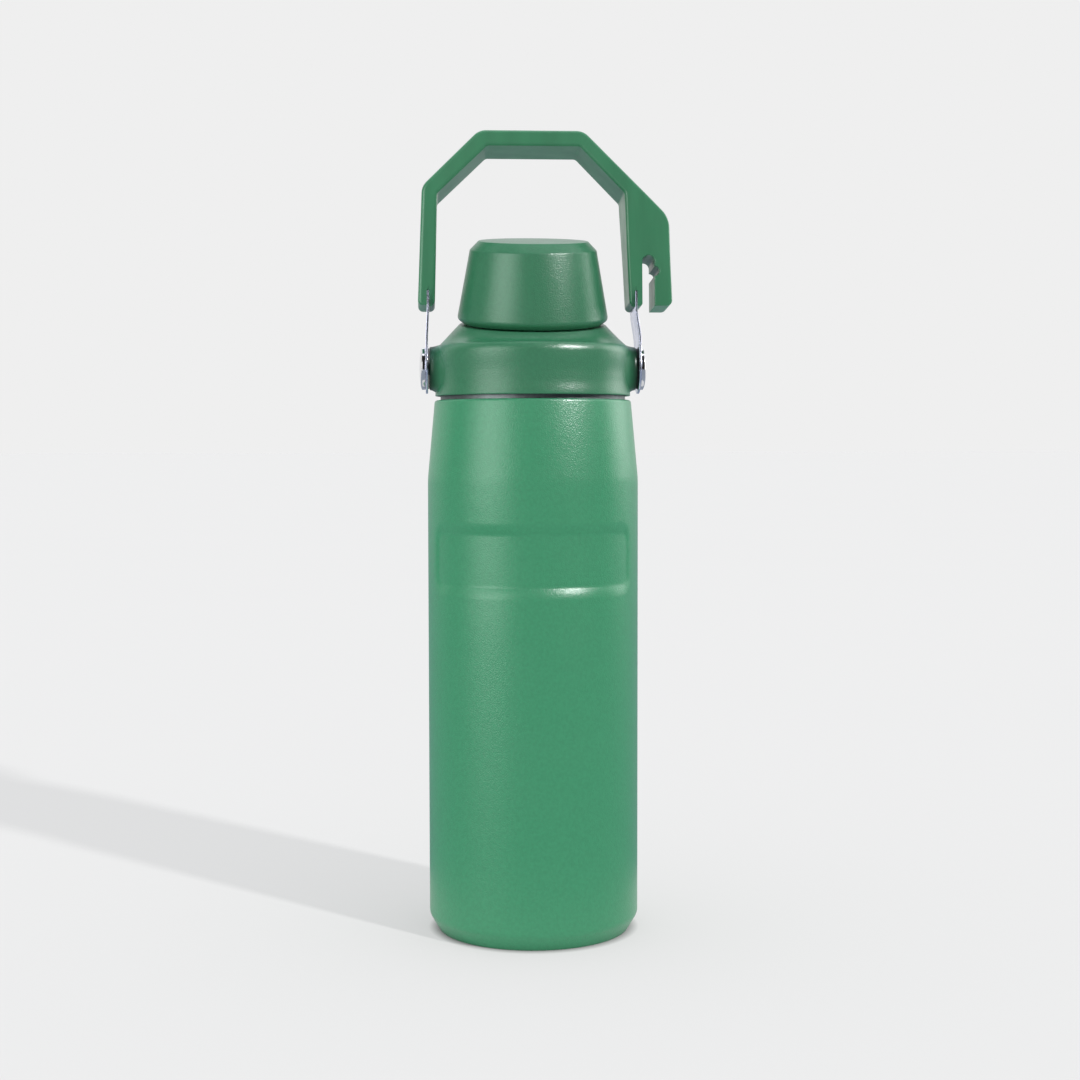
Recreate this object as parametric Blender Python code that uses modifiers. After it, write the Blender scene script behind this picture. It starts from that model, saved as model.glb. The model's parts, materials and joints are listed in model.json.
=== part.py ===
"""Vacuum flask: double-walled steel bottle, screw-in lid with an angled spout, screw cap, and a swinging
carry handle on two steel straps.

Frame: the origin is where the bottle's axis meets the surface it stands on. +Z is up, +X runs along the
handle's pivot axis towards the hook side, and -Y is the front, the side that the spout leans to.
Lengths are in metres. Heights are above the base, unless a name says otherwise.
"""

import math

import bmesh
import bpy
from mathutils import Matrix, Vector

# ---------------------------------------------------------------- driving dimensions
GAP = 0.0003                      # between neighbouring pieces
SEGMENTS = 40                     # sides of a turned piece
SHELL_SEGMENTS = 48               # sides of the outer shell: 7.5 degree columns, which bound the panel
MERGE = 1e-5                      # distance below which two points are one
REACH = 0.0200                    # how far a cutter runs past what it cuts
EDGE = 0.0006                     # small chamfer on moulded edges

# bottle: outer shell
BODY_RADIUS = 0.0380
FOOT_HEIGHT = 0.0070              # below this the body turns in to its foot
FOOT_ROUNDING = 0.0043
FOOT_SWEEP = 40.0                 # degrees of that rounding, before the straight slope
FOOT_SLOPE_END = (0.0346, 0.00025)
FOOT_RADIUS = 0.0341              # where the foot meets the ground
FOOT_INNER_RADIUS = 0.0332        # the rolled foot's inner edge
CONE_START_HEIGHT = 0.1640        # above this the body narrows to the lid
SHELL_TOP_RADIUS = 0.0354
SHELL_TOP_HEIGHT = 0.1921
SHELL_TOP_ROUNDING = 0.0010
SHELL_MOUTH_RADIUS = 0.0336
WALL = 0.0006                     # steel sheet

# bottle: panel pressed into the front of the shell
PANEL_DEPTH = 0.0011
PANEL_FLOOR = (0.1266, 0.1449)    # bottom and top of the flat floor
PANEL_EDGE = (0.1226, 0.1485)     # where the slopes meet the body
PANEL_CLOCKING = math.radians(-3.75)      # the lid's thread stops a little past the panel's centre
PANEL_HALF_WIDTH = math.radians(56.25)    # of the floor, about the body's axis

# bottle: inner vessel and neck
VESSEL_RADIUS = 0.0352
VESSEL_BOTTOM_HEIGHT = 0.0066
VESSEL_CORNER = 0.0080
VESSEL_CONE_HEIGHT = 0.1620
NECK_START_HEIGHT = 0.1870
NECK_RADIUS = 0.0333
NECK_WALL = 0.0012                # two sheets, welded at the mouth
NECK_TOP_HEIGHT = 0.1966

# bottle: base
BOTTOM_RADIUS = 0.0347
BOTTOM_HEIGHT = 0.0022
BOTTOM_DISH = 0.0016              # the middle of the bottom plate stands this much higher
BOTTOM_DISH_RADIUS = 0.0210
BOTTOM_DISH_SLOPE = 0.0040        # width of the slope round it
SEAL_HOLE_RADIUS = 0.0015
SEAL_RADIUS = 0.0034
SEAL_RIM = 0.0004
SEAL_DEPTH = 0.0011
COVER_THICKNESS = 0.0008
GETTER_RADIUS = 0.0060
GETTER_THICKNESS = 0.0010
GETTER_RIM = 0.0010               # width of its rim, which stands lower than its middle
GETTER_MIDDLE_THICKNESS = 0.0006

# screw threads: lead, and the ribs' section and length
LEAD = 0.0050
RIB_ROOT = 0.0016
RIB_CREST = 0.0008
RIB_BURIED = 0.0003
RIB_TURNS = 1.25
RIB_START = math.radians(3.0)     # where a rib begins, off the walls' own edges
LID_RIB_DEPTH = 0.00075
CAP_RIB_DEPTH = 0.0009
NECK_RIB_HEIGHT = 0.1890          # the mating rib on the plug starts half a lead lower
SPOUT_RIB_HEIGHT = 0.0050         # above the deck; the liner's starts half a lead lower

# lid
COLLAR_RADIUS = 0.0352
COLLAR_BOTTOM_HEIGHT = 0.1936
COLLAR_SHOULDER_HEIGHT = 0.2086   # the straight band ends here
COLLAR_SHOULDER_ROUNDING = 0.0040
COLLAR_TOP_RADIUS = 0.0264
COLLAR_TOP_HEIGHT = 0.2193        # on the axis: the deck leans forward
COLLAR_WALL = 0.0019
COLLAR_DECK = 0.0024
COLLAR_CEILING_RADIUS = 0.0249
SKIRT_INNER_RADIUS = 0.0337       # the band's lower part, round the bottle's neck
SKIRT_TOP_HEIGHT = 0.1978
SPOUT_LEAN = math.radians(9.3)    # of the deck, the spout and the cap, towards the front
SPOUT_RADIUS = 0.0172
SPOUT_BORE_RADIUS = 0.0140
SPOUT_HEIGHT = 0.0150             # above the deck
SPOUT_ROOT = -0.0420              # the spout's outer wall is joined to the plug from here up
DECK_HOLE_RADIUS = 0.0185
PLUG_RADIUS = 0.0310
PLUG_WALL = 0.0020
PLUG_BOTTOM_HEIGHT = 0.1830
FLANGE_RADIUS = 0.0330
FLANGE_THICKNESS = 0.0024
GASKET_THICKNESS = 0.0008

# handle pivot, on the lid's ears
PIVOT_HEIGHT = 0.2035
EAR_RADIUS = 0.0078
EAR_ROOT = 0.0300                 # |x| where the ear starts, inside the band
EAR_FACE = 0.0372                 # |x| of the ear's outer face; the stack follows outwards
WASHER_THICKNESS = 0.0005
WASHER_RADIUS = 0.0073
STRAP_THICKNESS = 0.0008
RIVET_HEAD_RADIUS = 0.0076
RIVET_HEAD_RIM = 0.0006
RIVET_HEAD_DOME = 0.0009
SHANK_RADIUS = 0.0022
SHANK_END = 0.0339                # |x|
INSERT_RADIUS = 0.0034
INSERT_END = 0.0335               # |x|

# handle: lengths along it are measured from the pivot
HANDLE_LEAN = math.radians(4.5)   # backwards, at rest
EYELET_RADIUS = 0.0090
STRAP_HALF_WIDTH = 0.0082
STRAP_SHOULDER = 0.0270
TANG_HALF_WIDTH = 0.0060
TANG_END = 0.0440
STRAP_JOG = {"right": 0.0013, "left": 0.0005}     # how far each strap steps in, going up
STRAP_JOG_SPAN = (0.0095, 0.0215)
LEG_END = 0.0217
LEG_SHOULDER = 0.0239             # the hook's outer corner
GRIP_LEG_HALF_DEPTH = 0.00875
GRIP_TOP_HALF_DEPTH = 0.01125
GRIP_TAPER_SPAN = (0.0340, 0.0620)
GRIP_EDGE = 0.0009
HOOK_CHANNEL = (0.0391, 0.0435)   # x of its two walls
HOOK_END_HEIGHT = 0.0370          # centre of its round end
HOOK_SIDE_LOBE = (0.0436, 0.0334, 0.00175)    # centre and radius of the catch for a cord

# cap, measured along the leaning axis from the deck
CAP_BOTTOM = 0.0004
CAP_BOTTOM_RADIUS = 0.0248
CAP_WIDEST = (0.0272, 0.0023)
CAP_SHOULDER = (0.0227, 0.0267)
CAP_TOP = (0.0196, 0.0299)
CAP_WALL = 0.0018
CAP_LIP_INNER_RADIUS = 0.0239
CAP_LIP_HEIGHT = 0.0012
LINER_INNER_RADIUS = 0.01845
LINER_RADIUS = 0.0206
LINER_FLANGE_THICKNESS = 0.0012
CAP_GASKET_THICKNESS = 0.0012


# ---------------------------------------------------------------- scene and materials
def clear_scene():
    """Remove every object that the scene starts with."""
    for obj in list(bpy.data.objects):
        bpy.data.objects.remove(obj, do_unlink=True)


def new_collection(name):
    """Make a collection and link it to the scene."""
    collection = bpy.data.collections.new(name)
    bpy.context.scene.collection.children.link(collection)
    return collection


def new_material(name, colour, roughness, metallic=0.0):
    """Make a Principled BSDF material."""
    material = bpy.data.materials.new(name)
    material.use_nodes = True
    shader = material.node_tree.nodes["Principled BSDF"]
    shader.inputs["Base Color"].default_value = (*colour, 1.0)
    shader.inputs["Roughness"].default_value = roughness
    shader.inputs["Metallic"].default_value = metallic
    return material


clear_scene()
PARTS = new_collection("vacuum_flask")
CUTTERS = new_collection("cutters")

BODY_PAINT = new_material("body_paint", (0.065, 0.29, 0.14), 0.45)
LID_PLASTIC = new_material("lid_plastic", (0.045, 0.21, 0.095), 0.45)
GRIP_PLASTIC = new_material("grip_plastic", (0.05, 0.23, 0.105), 0.35)
PLUG_PLASTIC = new_material("plug_plastic", (0.05, 0.055, 0.06), 0.5)
BRUSHED_STEEL = new_material("brushed_steel", (0.60, 0.60, 0.60), 0.35, 1.0)
POLISHED_STEEL = new_material("polished_steel", (0.72, 0.72, 0.73), 0.12, 1.0)
SILICONE = new_material("silicone", (0.75, 0.76, 0.76), 0.6)
NYLON = new_material("nylon", (0.03, 0.03, 0.03), 0.5)
FOAM = new_material("foam", (0.85, 0.84, 0.80), 0.9)
GETTER_METAL = new_material("getter_metal", (0.30, 0.30, 0.31), 0.6, 1.0)
SEAL_GLASS = new_material("seal_glass", (0.16, 0.15, 0.14), 0.2)
BRASS = new_material("brass", (0.70, 0.52, 0.22), 0.3, 1.0)


# ---------------------------------------------------------------- modelling helpers
def new_object(name, data, material=None, parent=None):
    """Make an object in the parts collection, or among the cutters if it has no material."""
    obj = bpy.data.objects.new(name, data)
    if material:
        PARTS.objects.link(obj)
        obj.data.materials.append(material)
    else:
        CUTTERS.objects.link(obj)
        obj.hide_render = True
        obj.display_type = "WIRE"
    obj.parent = parent
    return obj


def new_empty(name, location, lean=0.0):
    """Make an empty on a joint's axis, leaning about X."""
    empty = bpy.data.objects.new(name, None)
    PARTS.objects.link(empty)
    empty.location = location
    empty.rotation_euler = (lean, 0.0, 0.0)
    return empty


def evaluated_mesh(obj):
    """Return a new mesh: the object with its modifiers, in its own frame."""
    bpy.context.view_layer.update()
    depsgraph = bpy.context.evaluated_depsgraph_get()
    return bpy.data.meshes.new_from_object(obj.evaluated_get(depsgraph))


def apply_modifiers(obj):
    """Turn the object's modifiers into plain mesh."""
    mesh = evaluated_mesh(obj)
    obj.modifiers.clear()
    obj.data = mesh


def arc(centre, radii, start, end, steps):
    """Points on an arc of a circle or ellipse, in (radius, height); angles are in degrees."""
    points = []
    for step in range(steps + 1):
        angle = math.radians(start + (end - start) * step / steps)
        points.append((centre[0] + radii[0] * math.cos(angle), centre[1] + radii[1] * math.sin(angle)))
    return points


def turned(name, profile, material=None, parent=None, closed=False, segments=SEGMENTS):
    """Turn a (radius, height) profile about Z. It runs down its outer side; closed makes a ring."""
    mesh = bpy.data.meshes.new(name)
    edges = [(index, index + 1) for index in range(len(profile) - 1)]
    if closed:
        edges.append((len(profile) - 1, 0))
    mesh.from_pydata([(radius, 0.0, height) for radius, height in profile], edges, [])
    obj = new_object(name, mesh, material, parent)
    screw = obj.modifiers.new("Turn", "SCREW")
    screw.steps = segments
    screw.render_steps = segments
    screw.use_merge_vertices = True
    screw.merge_threshold = MERGE
    return obj


def ring(name, radii, heights, material=None, parent=None, segments=SEGMENTS):
    """A plain ring between an inner and an outer radius, and between two heights."""
    inner, outer = radii
    low, high = heights
    profile = [(inner, high), (outer, high), (outer, low), (inner, low)]
    return turned(name, profile, material, parent, closed=True, segments=segments)


def rod(name, radius, heights, material=None, parent=None, segments=SEGMENTS):
    """A plain round rod along Z between two heights."""
    low, high = heights
    return turned(name, [(0.0, high), (radius, high), (radius, low), (0.0, low)], material, parent,
                  segments=segments)


def sideways(obj, side):
    """Put a piece turned about Z on the pivot's axis: its +Z points out of the right or left side."""
    obj.location = (0.0, 0.0, PIVOT_HEIGHT)
    obj.rotation_euler = (0.0, side * math.pi / 2, 0.0)
    return obj


def boolean(obj, other, operation="DIFFERENCE"):
    """Cut one object with another, or join them."""
    modifier = obj.modifiers.new(other.name, "BOOLEAN")
    modifier.operation = operation
    modifier.solver = "EXACT"
    modifier.object = other


def add_thread(obj, root_radius, crest_radius, first_height):
    """Join a right-hand helical rib to a round wall: outside it if the crest is wider than the root."""
    outwards = 1.0 if crest_radius > root_radius else -1.0
    buried_radius = root_radius - outwards * RIB_BURIED
    section = [(buried_radius, -RIB_ROOT / 2), (crest_radius, -RIB_CREST / 2),
               (crest_radius, RIB_CREST / 2), (buried_radius, RIB_ROOT / 2)]
    bm = bmesh.new()
    face = bm.faces.new([bm.verts.new((radius, 0.0, first_height + height)) for radius, height in section])
    steps = round(RIB_TURNS * SEGMENTS)
    bmesh.ops.spin(bm, geom=[face, *face.edges, *face.verts], cent=(0.0, 0.0, 0.0), axis=(0.0, 0.0, 1.0),
                   dvec=(0.0, 0.0, LEAD / SEGMENTS), angle=RIB_TURNS * math.tau, steps=steps)
    bmesh.ops.rotate(bm, verts=bm.verts, cent=(0.0, 0.0, 0.0), matrix=Matrix.Rotation(RIB_START, 3, "Z"))
    bmesh.ops.recalc_face_normals(bm, faces=bm.faces)
    mesh = bpy.data.meshes.new(obj.name + "_thread")
    bm.to_mesh(mesh)
    bm.free()
    rib = new_object(mesh.name, mesh)
    boolean(obj, rib, "UNION")
    return rib


def rounded(corners, steps=3):
    """Turn a list of (x, y, radius) corners into an outline whose corners are arcs."""
    outline = []
    for index, (x, y, radius) in enumerate(corners):
        corner = Vector((x, y))
        if radius == 0.0:
            outline.append((x, y))
            continue
        before = (Vector(corners[index - 1][:2]) - corner).normalized()
        after = (Vector(corners[(index + 1) % len(corners)][:2]) - corner).normalized()
        half_angle = before.angle(after) / 2
        centre = corner + (before + after).normalized() * radius / math.sin(half_angle)
        first = corner + before * radius / math.tan(half_angle) - centre
        last = corner + after * radius / math.tan(half_angle) - centre
        turn = first.angle_signed(last)
        for step in range(steps + 1):
            spoke = first.copy()
            spoke.rotate(Matrix.Rotation(-turn * step / steps, 2))
            outline.append(tuple(centre + spoke))
    return outline


def circle(centre, radius, sides=24):
    """An outline of a circle."""
    points = arc(centre, (radius, radius), 0.0, 360.0, sides)
    return points[:-1]


def flat_piece(name, outlines, half_depth, upright, material=None, parent=None):
    """Make a solid plate from flat outlines, the first of them its edge and any others holes in it.

    upright turns the plate from the XY plane, where the outlines are drawn, to where it stands.
    """
    curve = bpy.data.curves.new(name, "CURVE")
    curve.dimensions = "2D"
    curve.fill_mode = "BOTH"
    curve.extrude = half_depth
    for outline in outlines:
        spline = curve.splines.new("POLY")
        spline.points.add(len(outline) - 1)
        for point, (across, up) in zip(spline.points, outline):
            point.co = (across, up, 0.0, 1.0)
        spline.use_cyclic_u = True
    source = new_object(name + "_outline", curve)
    mesh = evaluated_mesh(source)
    bpy.data.objects.remove(source, do_unlink=True)

    bm = bmesh.new()
    bm.from_mesh(mesh)
    bmesh.ops.remove_doubles(bm, verts=bm.verts, dist=MERGE)
    bmesh.ops.dissolve_limit(bm, angle_limit=math.radians(1.0), verts=bm.verts, edges=bm.edges)
    bmesh.ops.transform(bm, matrix=upright, verts=bm.verts)
    bmesh.ops.recalc_face_normals(bm, faces=bm.faces)
    bm.to_mesh(mesh)
    bm.free()
    mesh.name = name
    return new_object(name, mesh, material, parent)


def cut_across(mesh, heights):
    """Cut a mesh's faces along level lines, so that it can bend there."""
    bm = bmesh.new()
    bm.from_mesh(mesh)
    for height in heights:
        bmesh.ops.bisect_plane(bm, geom=[*bm.verts, *bm.edges, *bm.faces],
                               plane_co=(0.0, 0.0, height), plane_no=(0.0, 0.0, 1.0))
    bm.to_mesh(mesh)
    bm.free()


def box(name, low, high, parent=None):
    """A box-shaped cutter between two corners."""
    bm = bmesh.new()
    size = Vector(high) - Vector(low)
    middle = (Vector(high) + Vector(low)) / 2
    bmesh.ops.create_cube(bm, size=1.0, matrix=Matrix.Translation(middle) @ Matrix.Diagonal((*size, 1.0)))
    mesh = bpy.data.meshes.new(name)
    bm.to_mesh(mesh)
    bm.free()
    return new_object(name, mesh, parent=parent)


def ramp(value, span):
    """0 below a span, 1 above it, and a straight line between."""
    return min(max((value - span[0]) / (span[1] - span[0]), 0.0), 1.0)


def set_smooth():
    """Shade round faces smooth, and keep the real edges sharp."""
    for obj in PARTS.objects:
        if obj.type == "MESH":
            obj.data.shade_smooth()
            obj.data.set_sharp_from_angle(angle=math.radians(30.0))
            for modifier in obj.modifiers:
                if modifier.type == "SCREW":
                    modifier.use_smooth_shade = True


# ---------------------------------------------------------------- bottle
def make_outer_shell():
    """Painted steel shell: rounded foot, straight body, cone, and a panel pressed in at the front."""
    rounding = SHELL_TOP_ROUNDING
    profile = [(SHELL_MOUTH_RADIUS, SHELL_TOP_HEIGHT)]
    profile += arc((SHELL_TOP_RADIUS - rounding, SHELL_TOP_HEIGHT - rounding), (rounding, rounding),
                   90.0, 0.0, 2)
    profile += [(BODY_RADIUS, CONE_START_HEIGHT)]
    profile += [(BODY_RADIUS, PANEL_EDGE[1]), (BODY_RADIUS, PANEL_FLOOR[1])]
    profile += [(BODY_RADIUS, PANEL_FLOOR[0]), (BODY_RADIUS, PANEL_EDGE[0])]
    profile += arc((BODY_RADIUS - FOOT_ROUNDING, FOOT_HEIGHT), (FOOT_ROUNDING, FOOT_ROUNDING),
                   0.0, -FOOT_SWEEP, 3)
    profile += [FOOT_SLOPE_END, (FOOT_RADIUS, 0.0), (FOOT_INNER_RADIUS, 0.0)]
    shell = turned("outer_shell", profile, BODY_PAINT, segments=SHELL_SEGMENTS)
    apply_modifiers(shell)

    # The floor is the body's own curve moved straight back, so the panel runs out towards its ends.
    front = -math.pi / 2 + PANEL_CLOCKING
    push = Vector((-math.cos(front), -math.sin(front), 0.0)) * PANEL_DEPTH
    for vertex in shell.data.vertices:
        off_centre = math.remainder(math.atan2(vertex.co.y, vertex.co.x) - front, math.tau)
        on_floor = PANEL_FLOOR[0] - MERGE < vertex.co.z < PANEL_FLOOR[1] + MERGE
        if on_floor and abs(off_centre) < PANEL_HALF_WIDTH + math.radians(1.0):
            vertex.co += push

    sheet = shell.modifiers.new("Sheet", "SOLIDIFY")
    sheet.thickness = WALL
    sheet.offset = -1.0
    sheet.use_even_offset = True


def make_inner_vessel():
    """Bare steel vessel that holds the drink. Its neck stands above the shell and has the lid's thread."""
    corner = (VESSEL_RADIUS - VESSEL_CORNER, VESSEL_BOTTOM_HEIGHT + VESSEL_CORNER)
    inner_corner = VESSEL_CORNER - WALL
    neck_inner_radius = NECK_RADIUS - NECK_WALL
    profile = [(0.0, VESSEL_BOTTOM_HEIGHT + WALL)]
    profile += arc(corner, (inner_corner, inner_corner), -90.0, 0.0, 3)
    profile += [(VESSEL_RADIUS - WALL, VESSEL_CONE_HEIGHT), (neck_inner_radius, NECK_START_HEIGHT)]
    profile += [(neck_inner_radius, NECK_TOP_HEIGHT), (NECK_RADIUS, NECK_TOP_HEIGHT)]
    profile += [(NECK_RADIUS, NECK_START_HEIGHT), (VESSEL_RADIUS, VESSEL_CONE_HEIGHT)]
    profile += arc(corner, (VESSEL_CORNER, VESSEL_CORNER), 0.0, -90.0, 3)
    profile += [(0.0, VESSEL_BOTTOM_HEIGHT)]
    vessel = turned("inner_vessel", profile, BRUSHED_STEEL)
    add_thread(vessel, neck_inner_radius, neck_inner_radius - LID_RIB_DEPTH, NECK_RIB_HEIGHT)


def make_base():
    """The welded bottom plate, the glass bead that seals the vacuum, the getter, and the cover plate."""
    low = BOTTOM_HEIGHT
    high = BOTTOM_HEIGHT + BOTTOM_DISH
    slope_end = BOTTOM_DISH_RADIUS + BOTTOM_DISH_SLOPE
    profile = [(SEAL_HOLE_RADIUS, high + WALL), (BOTTOM_DISH_RADIUS, high + WALL), (slope_end, low + WALL)]
    profile += [(BOTTOM_RADIUS, low + WALL), (BOTTOM_RADIUS, low), (slope_end, low)]
    profile += [(BOTTOM_DISH_RADIUS, high), (SEAL_HOLE_RADIUS, high)]
    turned("outer_bottom", profile, BRUSHED_STEEL, closed=True)

    stem_radius = SEAL_HOLE_RADIUS - GAP
    bead_top = high - GAP
    profile = [(0.0, high + WALL), (stem_radius, high + WALL), (stem_radius, bead_top)]
    profile += [(SEAL_RADIUS, bead_top)]
    dome = arc((0.0, bead_top - SEAL_RIM), (SEAL_RADIUS, SEAL_DEPTH - SEAL_RIM), 0.0, -90.0, 3)
    profile += [*dome[:-1], (0.0, bead_top - SEAL_DEPTH)]
    turned("vacuum_seal", profile, SEAL_GLASS, segments=20)

    top = VESSEL_BOTTOM_HEIGHT - GAP
    rim_inner_radius = GETTER_RADIUS - GETTER_RIM
    profile = [(0.0, top), (GETTER_RADIUS, top), (GETTER_RADIUS, top - GETTER_THICKNESS)]
    profile += [(rim_inner_radius, top - GETTER_THICKNESS), (rim_inner_radius, top - GETTER_MIDDLE_THICKNESS)]
    profile += [(0.0, top - GETTER_MIDDLE_THICKNESS)]
    turned("getter", profile, GETTER_METAL, segments=20)

    cover_radius = FOOT_INNER_RADIUS - GAP
    profile = [(0.0, COVER_THICKNESS), (cover_radius, COVER_THICKNESS), (cover_radius, GAP)]
    profile += [(cover_radius - GAP, 0.0), (0.0, 0.0)]
    turned("base_cover", profile, BRUSHED_STEEL)


# ---------------------------------------------------------------- lid
def lean_with_deck(obj, lowest):
    """Tilt the level rings above a height, so that a turned piece ends in the leaning deck."""
    centre = Vector((0.0, 0.0, COLLAR_TOP_HEIGHT))
    tilt = Matrix.Rotation(SPOUT_LEAN, 3, "X")
    for vertex in obj.data.vertices:
        if vertex.co.z > lowest:
            vertex.co = centre + tilt @ (vertex.co - centre)


def make_collar():
    """The lid's outer cover: a band with two ears for the handle, and a shoulder up to the leaning deck."""
    rounding = COLLAR_SHOULDER_ROUNDING
    rounding_centre = (COLLAR_RADIUS - rounding, COLLAR_SHOULDER_HEIGHT)
    profile = [(0.0, COLLAR_TOP_HEIGHT), (COLLAR_TOP_RADIUS, COLLAR_TOP_HEIGHT)]
    profile += arc(rounding_centre, (rounding, rounding), 45.0, 0.0, 2)
    profile += [(COLLAR_RADIUS, COLLAR_BOTTOM_HEIGHT + GAP), (COLLAR_RADIUS - GAP, COLLAR_BOTTOM_HEIGHT)]
    profile += [(0.0, COLLAR_BOTTOM_HEIGHT)]
    collar = turned("lid_collar", profile, LID_PLASTIC)
    apply_modifiers(collar)
    lean_with_deck(collar, COLLAR_SHOULDER_HEIGHT + rounding)

    for side, name in SIDES:
        ear_profile = [(0.0, EAR_FACE), (EAR_RADIUS - EDGE, EAR_FACE), (EAR_RADIUS, EAR_FACE - EDGE)]
        ear_profile += [(EAR_RADIUS, EAR_ROOT), (0.0, EAR_ROOT)]
        boolean(collar, sideways(turned("ear_" + name, ear_profile, segments=32), side), "UNION")

    ceiling = COLLAR_TOP_HEIGHT - COLLAR_DECK
    bottom = COLLAR_BOTTOM_HEIGHT - REACH
    inner_rounding = rounding - COLLAR_WALL
    profile = [(0.0, ceiling), (COLLAR_CEILING_RADIUS, ceiling)]
    profile += arc(rounding_centre, (inner_rounding, inner_rounding), 45.0, 0.0, 1)
    profile += [(COLLAR_RADIUS - COLLAR_WALL, SKIRT_TOP_HEIGHT), (SKIRT_INNER_RADIUS, SKIRT_TOP_HEIGHT)]
    profile += [(SKIRT_INNER_RADIUS, bottom), (0.0, bottom)]
    cavity = turned("collar_cavity", profile)
    apply_modifiers(cavity)
    lean_with_deck(cavity, COLLAR_SHOULDER_HEIGHT + rounding)
    boolean(collar, cavity)

    boolean(collar, rod("deck_hole", DECK_HOLE_RADIUS, (-REACH, REACH), parent=CAP_AXIS))
    for side, name in SIDES:
        bore = rod("insert_bore_" + name, INSERT_RADIUS + GAP, (EAR_ROOT, EAR_FACE + REACH), segments=20)
        boolean(collar, sideways(bore, side))


def make_plug():
    """The threaded plug and the leaning spout, one moulding with the pouring bore right through it."""
    flange_bottom = NECK_TOP_HEIGHT + GASKET_THICKNESS + 2 * GAP
    flange_top = flange_bottom + FLANGE_THICKNESS
    inner_radius = PLUG_RADIUS - PLUG_WALL
    floor = PLUG_BOTTOM_HEIGHT + PLUG_WALL
    untrimmed_bottom = PLUG_BOTTOM_HEIGHT - MERGE * 10
    profile = [(0.0, floor), (inner_radius, floor), (inner_radius, flange_top), (FLANGE_RADIUS, flange_top)]
    profile += [(FLANGE_RADIUS, flange_bottom), (PLUG_RADIUS, flange_bottom)]
    profile += [(PLUG_RADIUS, untrimmed_bottom), (0.0, untrimmed_bottom)]
    plug = turned("lid_plug", profile, PLUG_PLASTIC)

    spout_profile = [(0.0, SPOUT_HEIGHT), (SPOUT_RADIUS - EDGE, SPOUT_HEIGHT)]
    spout_profile += [(SPOUT_RADIUS, SPOUT_HEIGHT - EDGE), (SPOUT_RADIUS, SPOUT_ROOT), (0.0, SPOUT_ROOT)]
    boolean(plug, turned("spout", spout_profile, parent=CAP_AXIS), "UNION")
    boolean(plug, rod("plug_trim", BODY_RADIUS, (PLUG_BOTTOM_HEIGHT - REACH, PLUG_BOTTOM_HEIGHT)))
    boolean(plug, rod("spout_bore", SPOUT_BORE_RADIUS, (SPOUT_ROOT - REACH, SPOUT_HEIGHT + REACH),
                      parent=CAP_AXIS))
    add_thread(plug, PLUG_RADIUS, PLUG_RADIUS + LID_RIB_DEPTH, NECK_RIB_HEIGHT - LEAD / 2)
    rib = add_thread(plug, SPOUT_RADIUS, SPOUT_RADIUS + CAP_RIB_DEPTH, SPOUT_RIB_HEIGHT)
    rib.name = "spout_thread"
    rib.parent = CAP_AXIS


def make_lid_inside():
    """The foam in the plug, and the gasket that seals on the neck's rim."""
    foam_radius = PLUG_RADIUS - PLUG_WALL - GAP
    foam = rod("lid_foam", foam_radius, (PLUG_BOTTOM_HEIGHT + PLUG_WALL + GAP, NECK_TOP_HEIGHT), FOAM)
    boolean(foam, rod("foam_hole", SPOUT_RADIUS + GAP, (SPOUT_ROOT - REACH, 0.0), parent=CAP_AXIS))

    gasket_bottom = NECK_TOP_HEIGHT + GAP
    ring("lid_gasket", (PLUG_RADIUS + GAP, NECK_RADIUS - GAP),
         (gasket_bottom, gasket_bottom + GASKET_THICKNESS), SILICONE)


def make_pivots():
    """On each ear: a threaded brass insert, a nylon washer, and a domed rivet through the strap's eyelet."""
    washer = (EAR_FACE + GAP, EAR_FACE + GAP + WASHER_THICKNESS)
    head_seat = STRAP_OUTER_FACE + GAP
    head_rim = head_seat + RIVET_HEAD_RIM
    for side, name in SIDES:
        insert = ring("pivot_insert_" + name, (SHANK_RADIUS + GAP, INSERT_RADIUS),
                      (INSERT_END, EAR_FACE - GAP), BRASS, segments=20)
        sideways(insert, side)
        sideways(ring("pivot_washer_" + name, (SHANK_RADIUS + GAP, WASHER_RADIUS), washer, NYLON, segments=32),
                 side)
        profile = [(0.0, head_rim + RIVET_HEAD_DOME)]
        profile += arc((0.0, head_rim), (RIVET_HEAD_RADIUS, RIVET_HEAD_DOME), 60.0, 0.0, 3)
        profile += [(RIVET_HEAD_RADIUS, head_seat), (SHANK_RADIUS, head_seat), (SHANK_RADIUS, SHANK_END)]
        profile += [(0.0, SHANK_END)]
        sideways(turned("pivot_rivet_" + name, profile, POLISHED_STEEL, segments=32), side)


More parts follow.
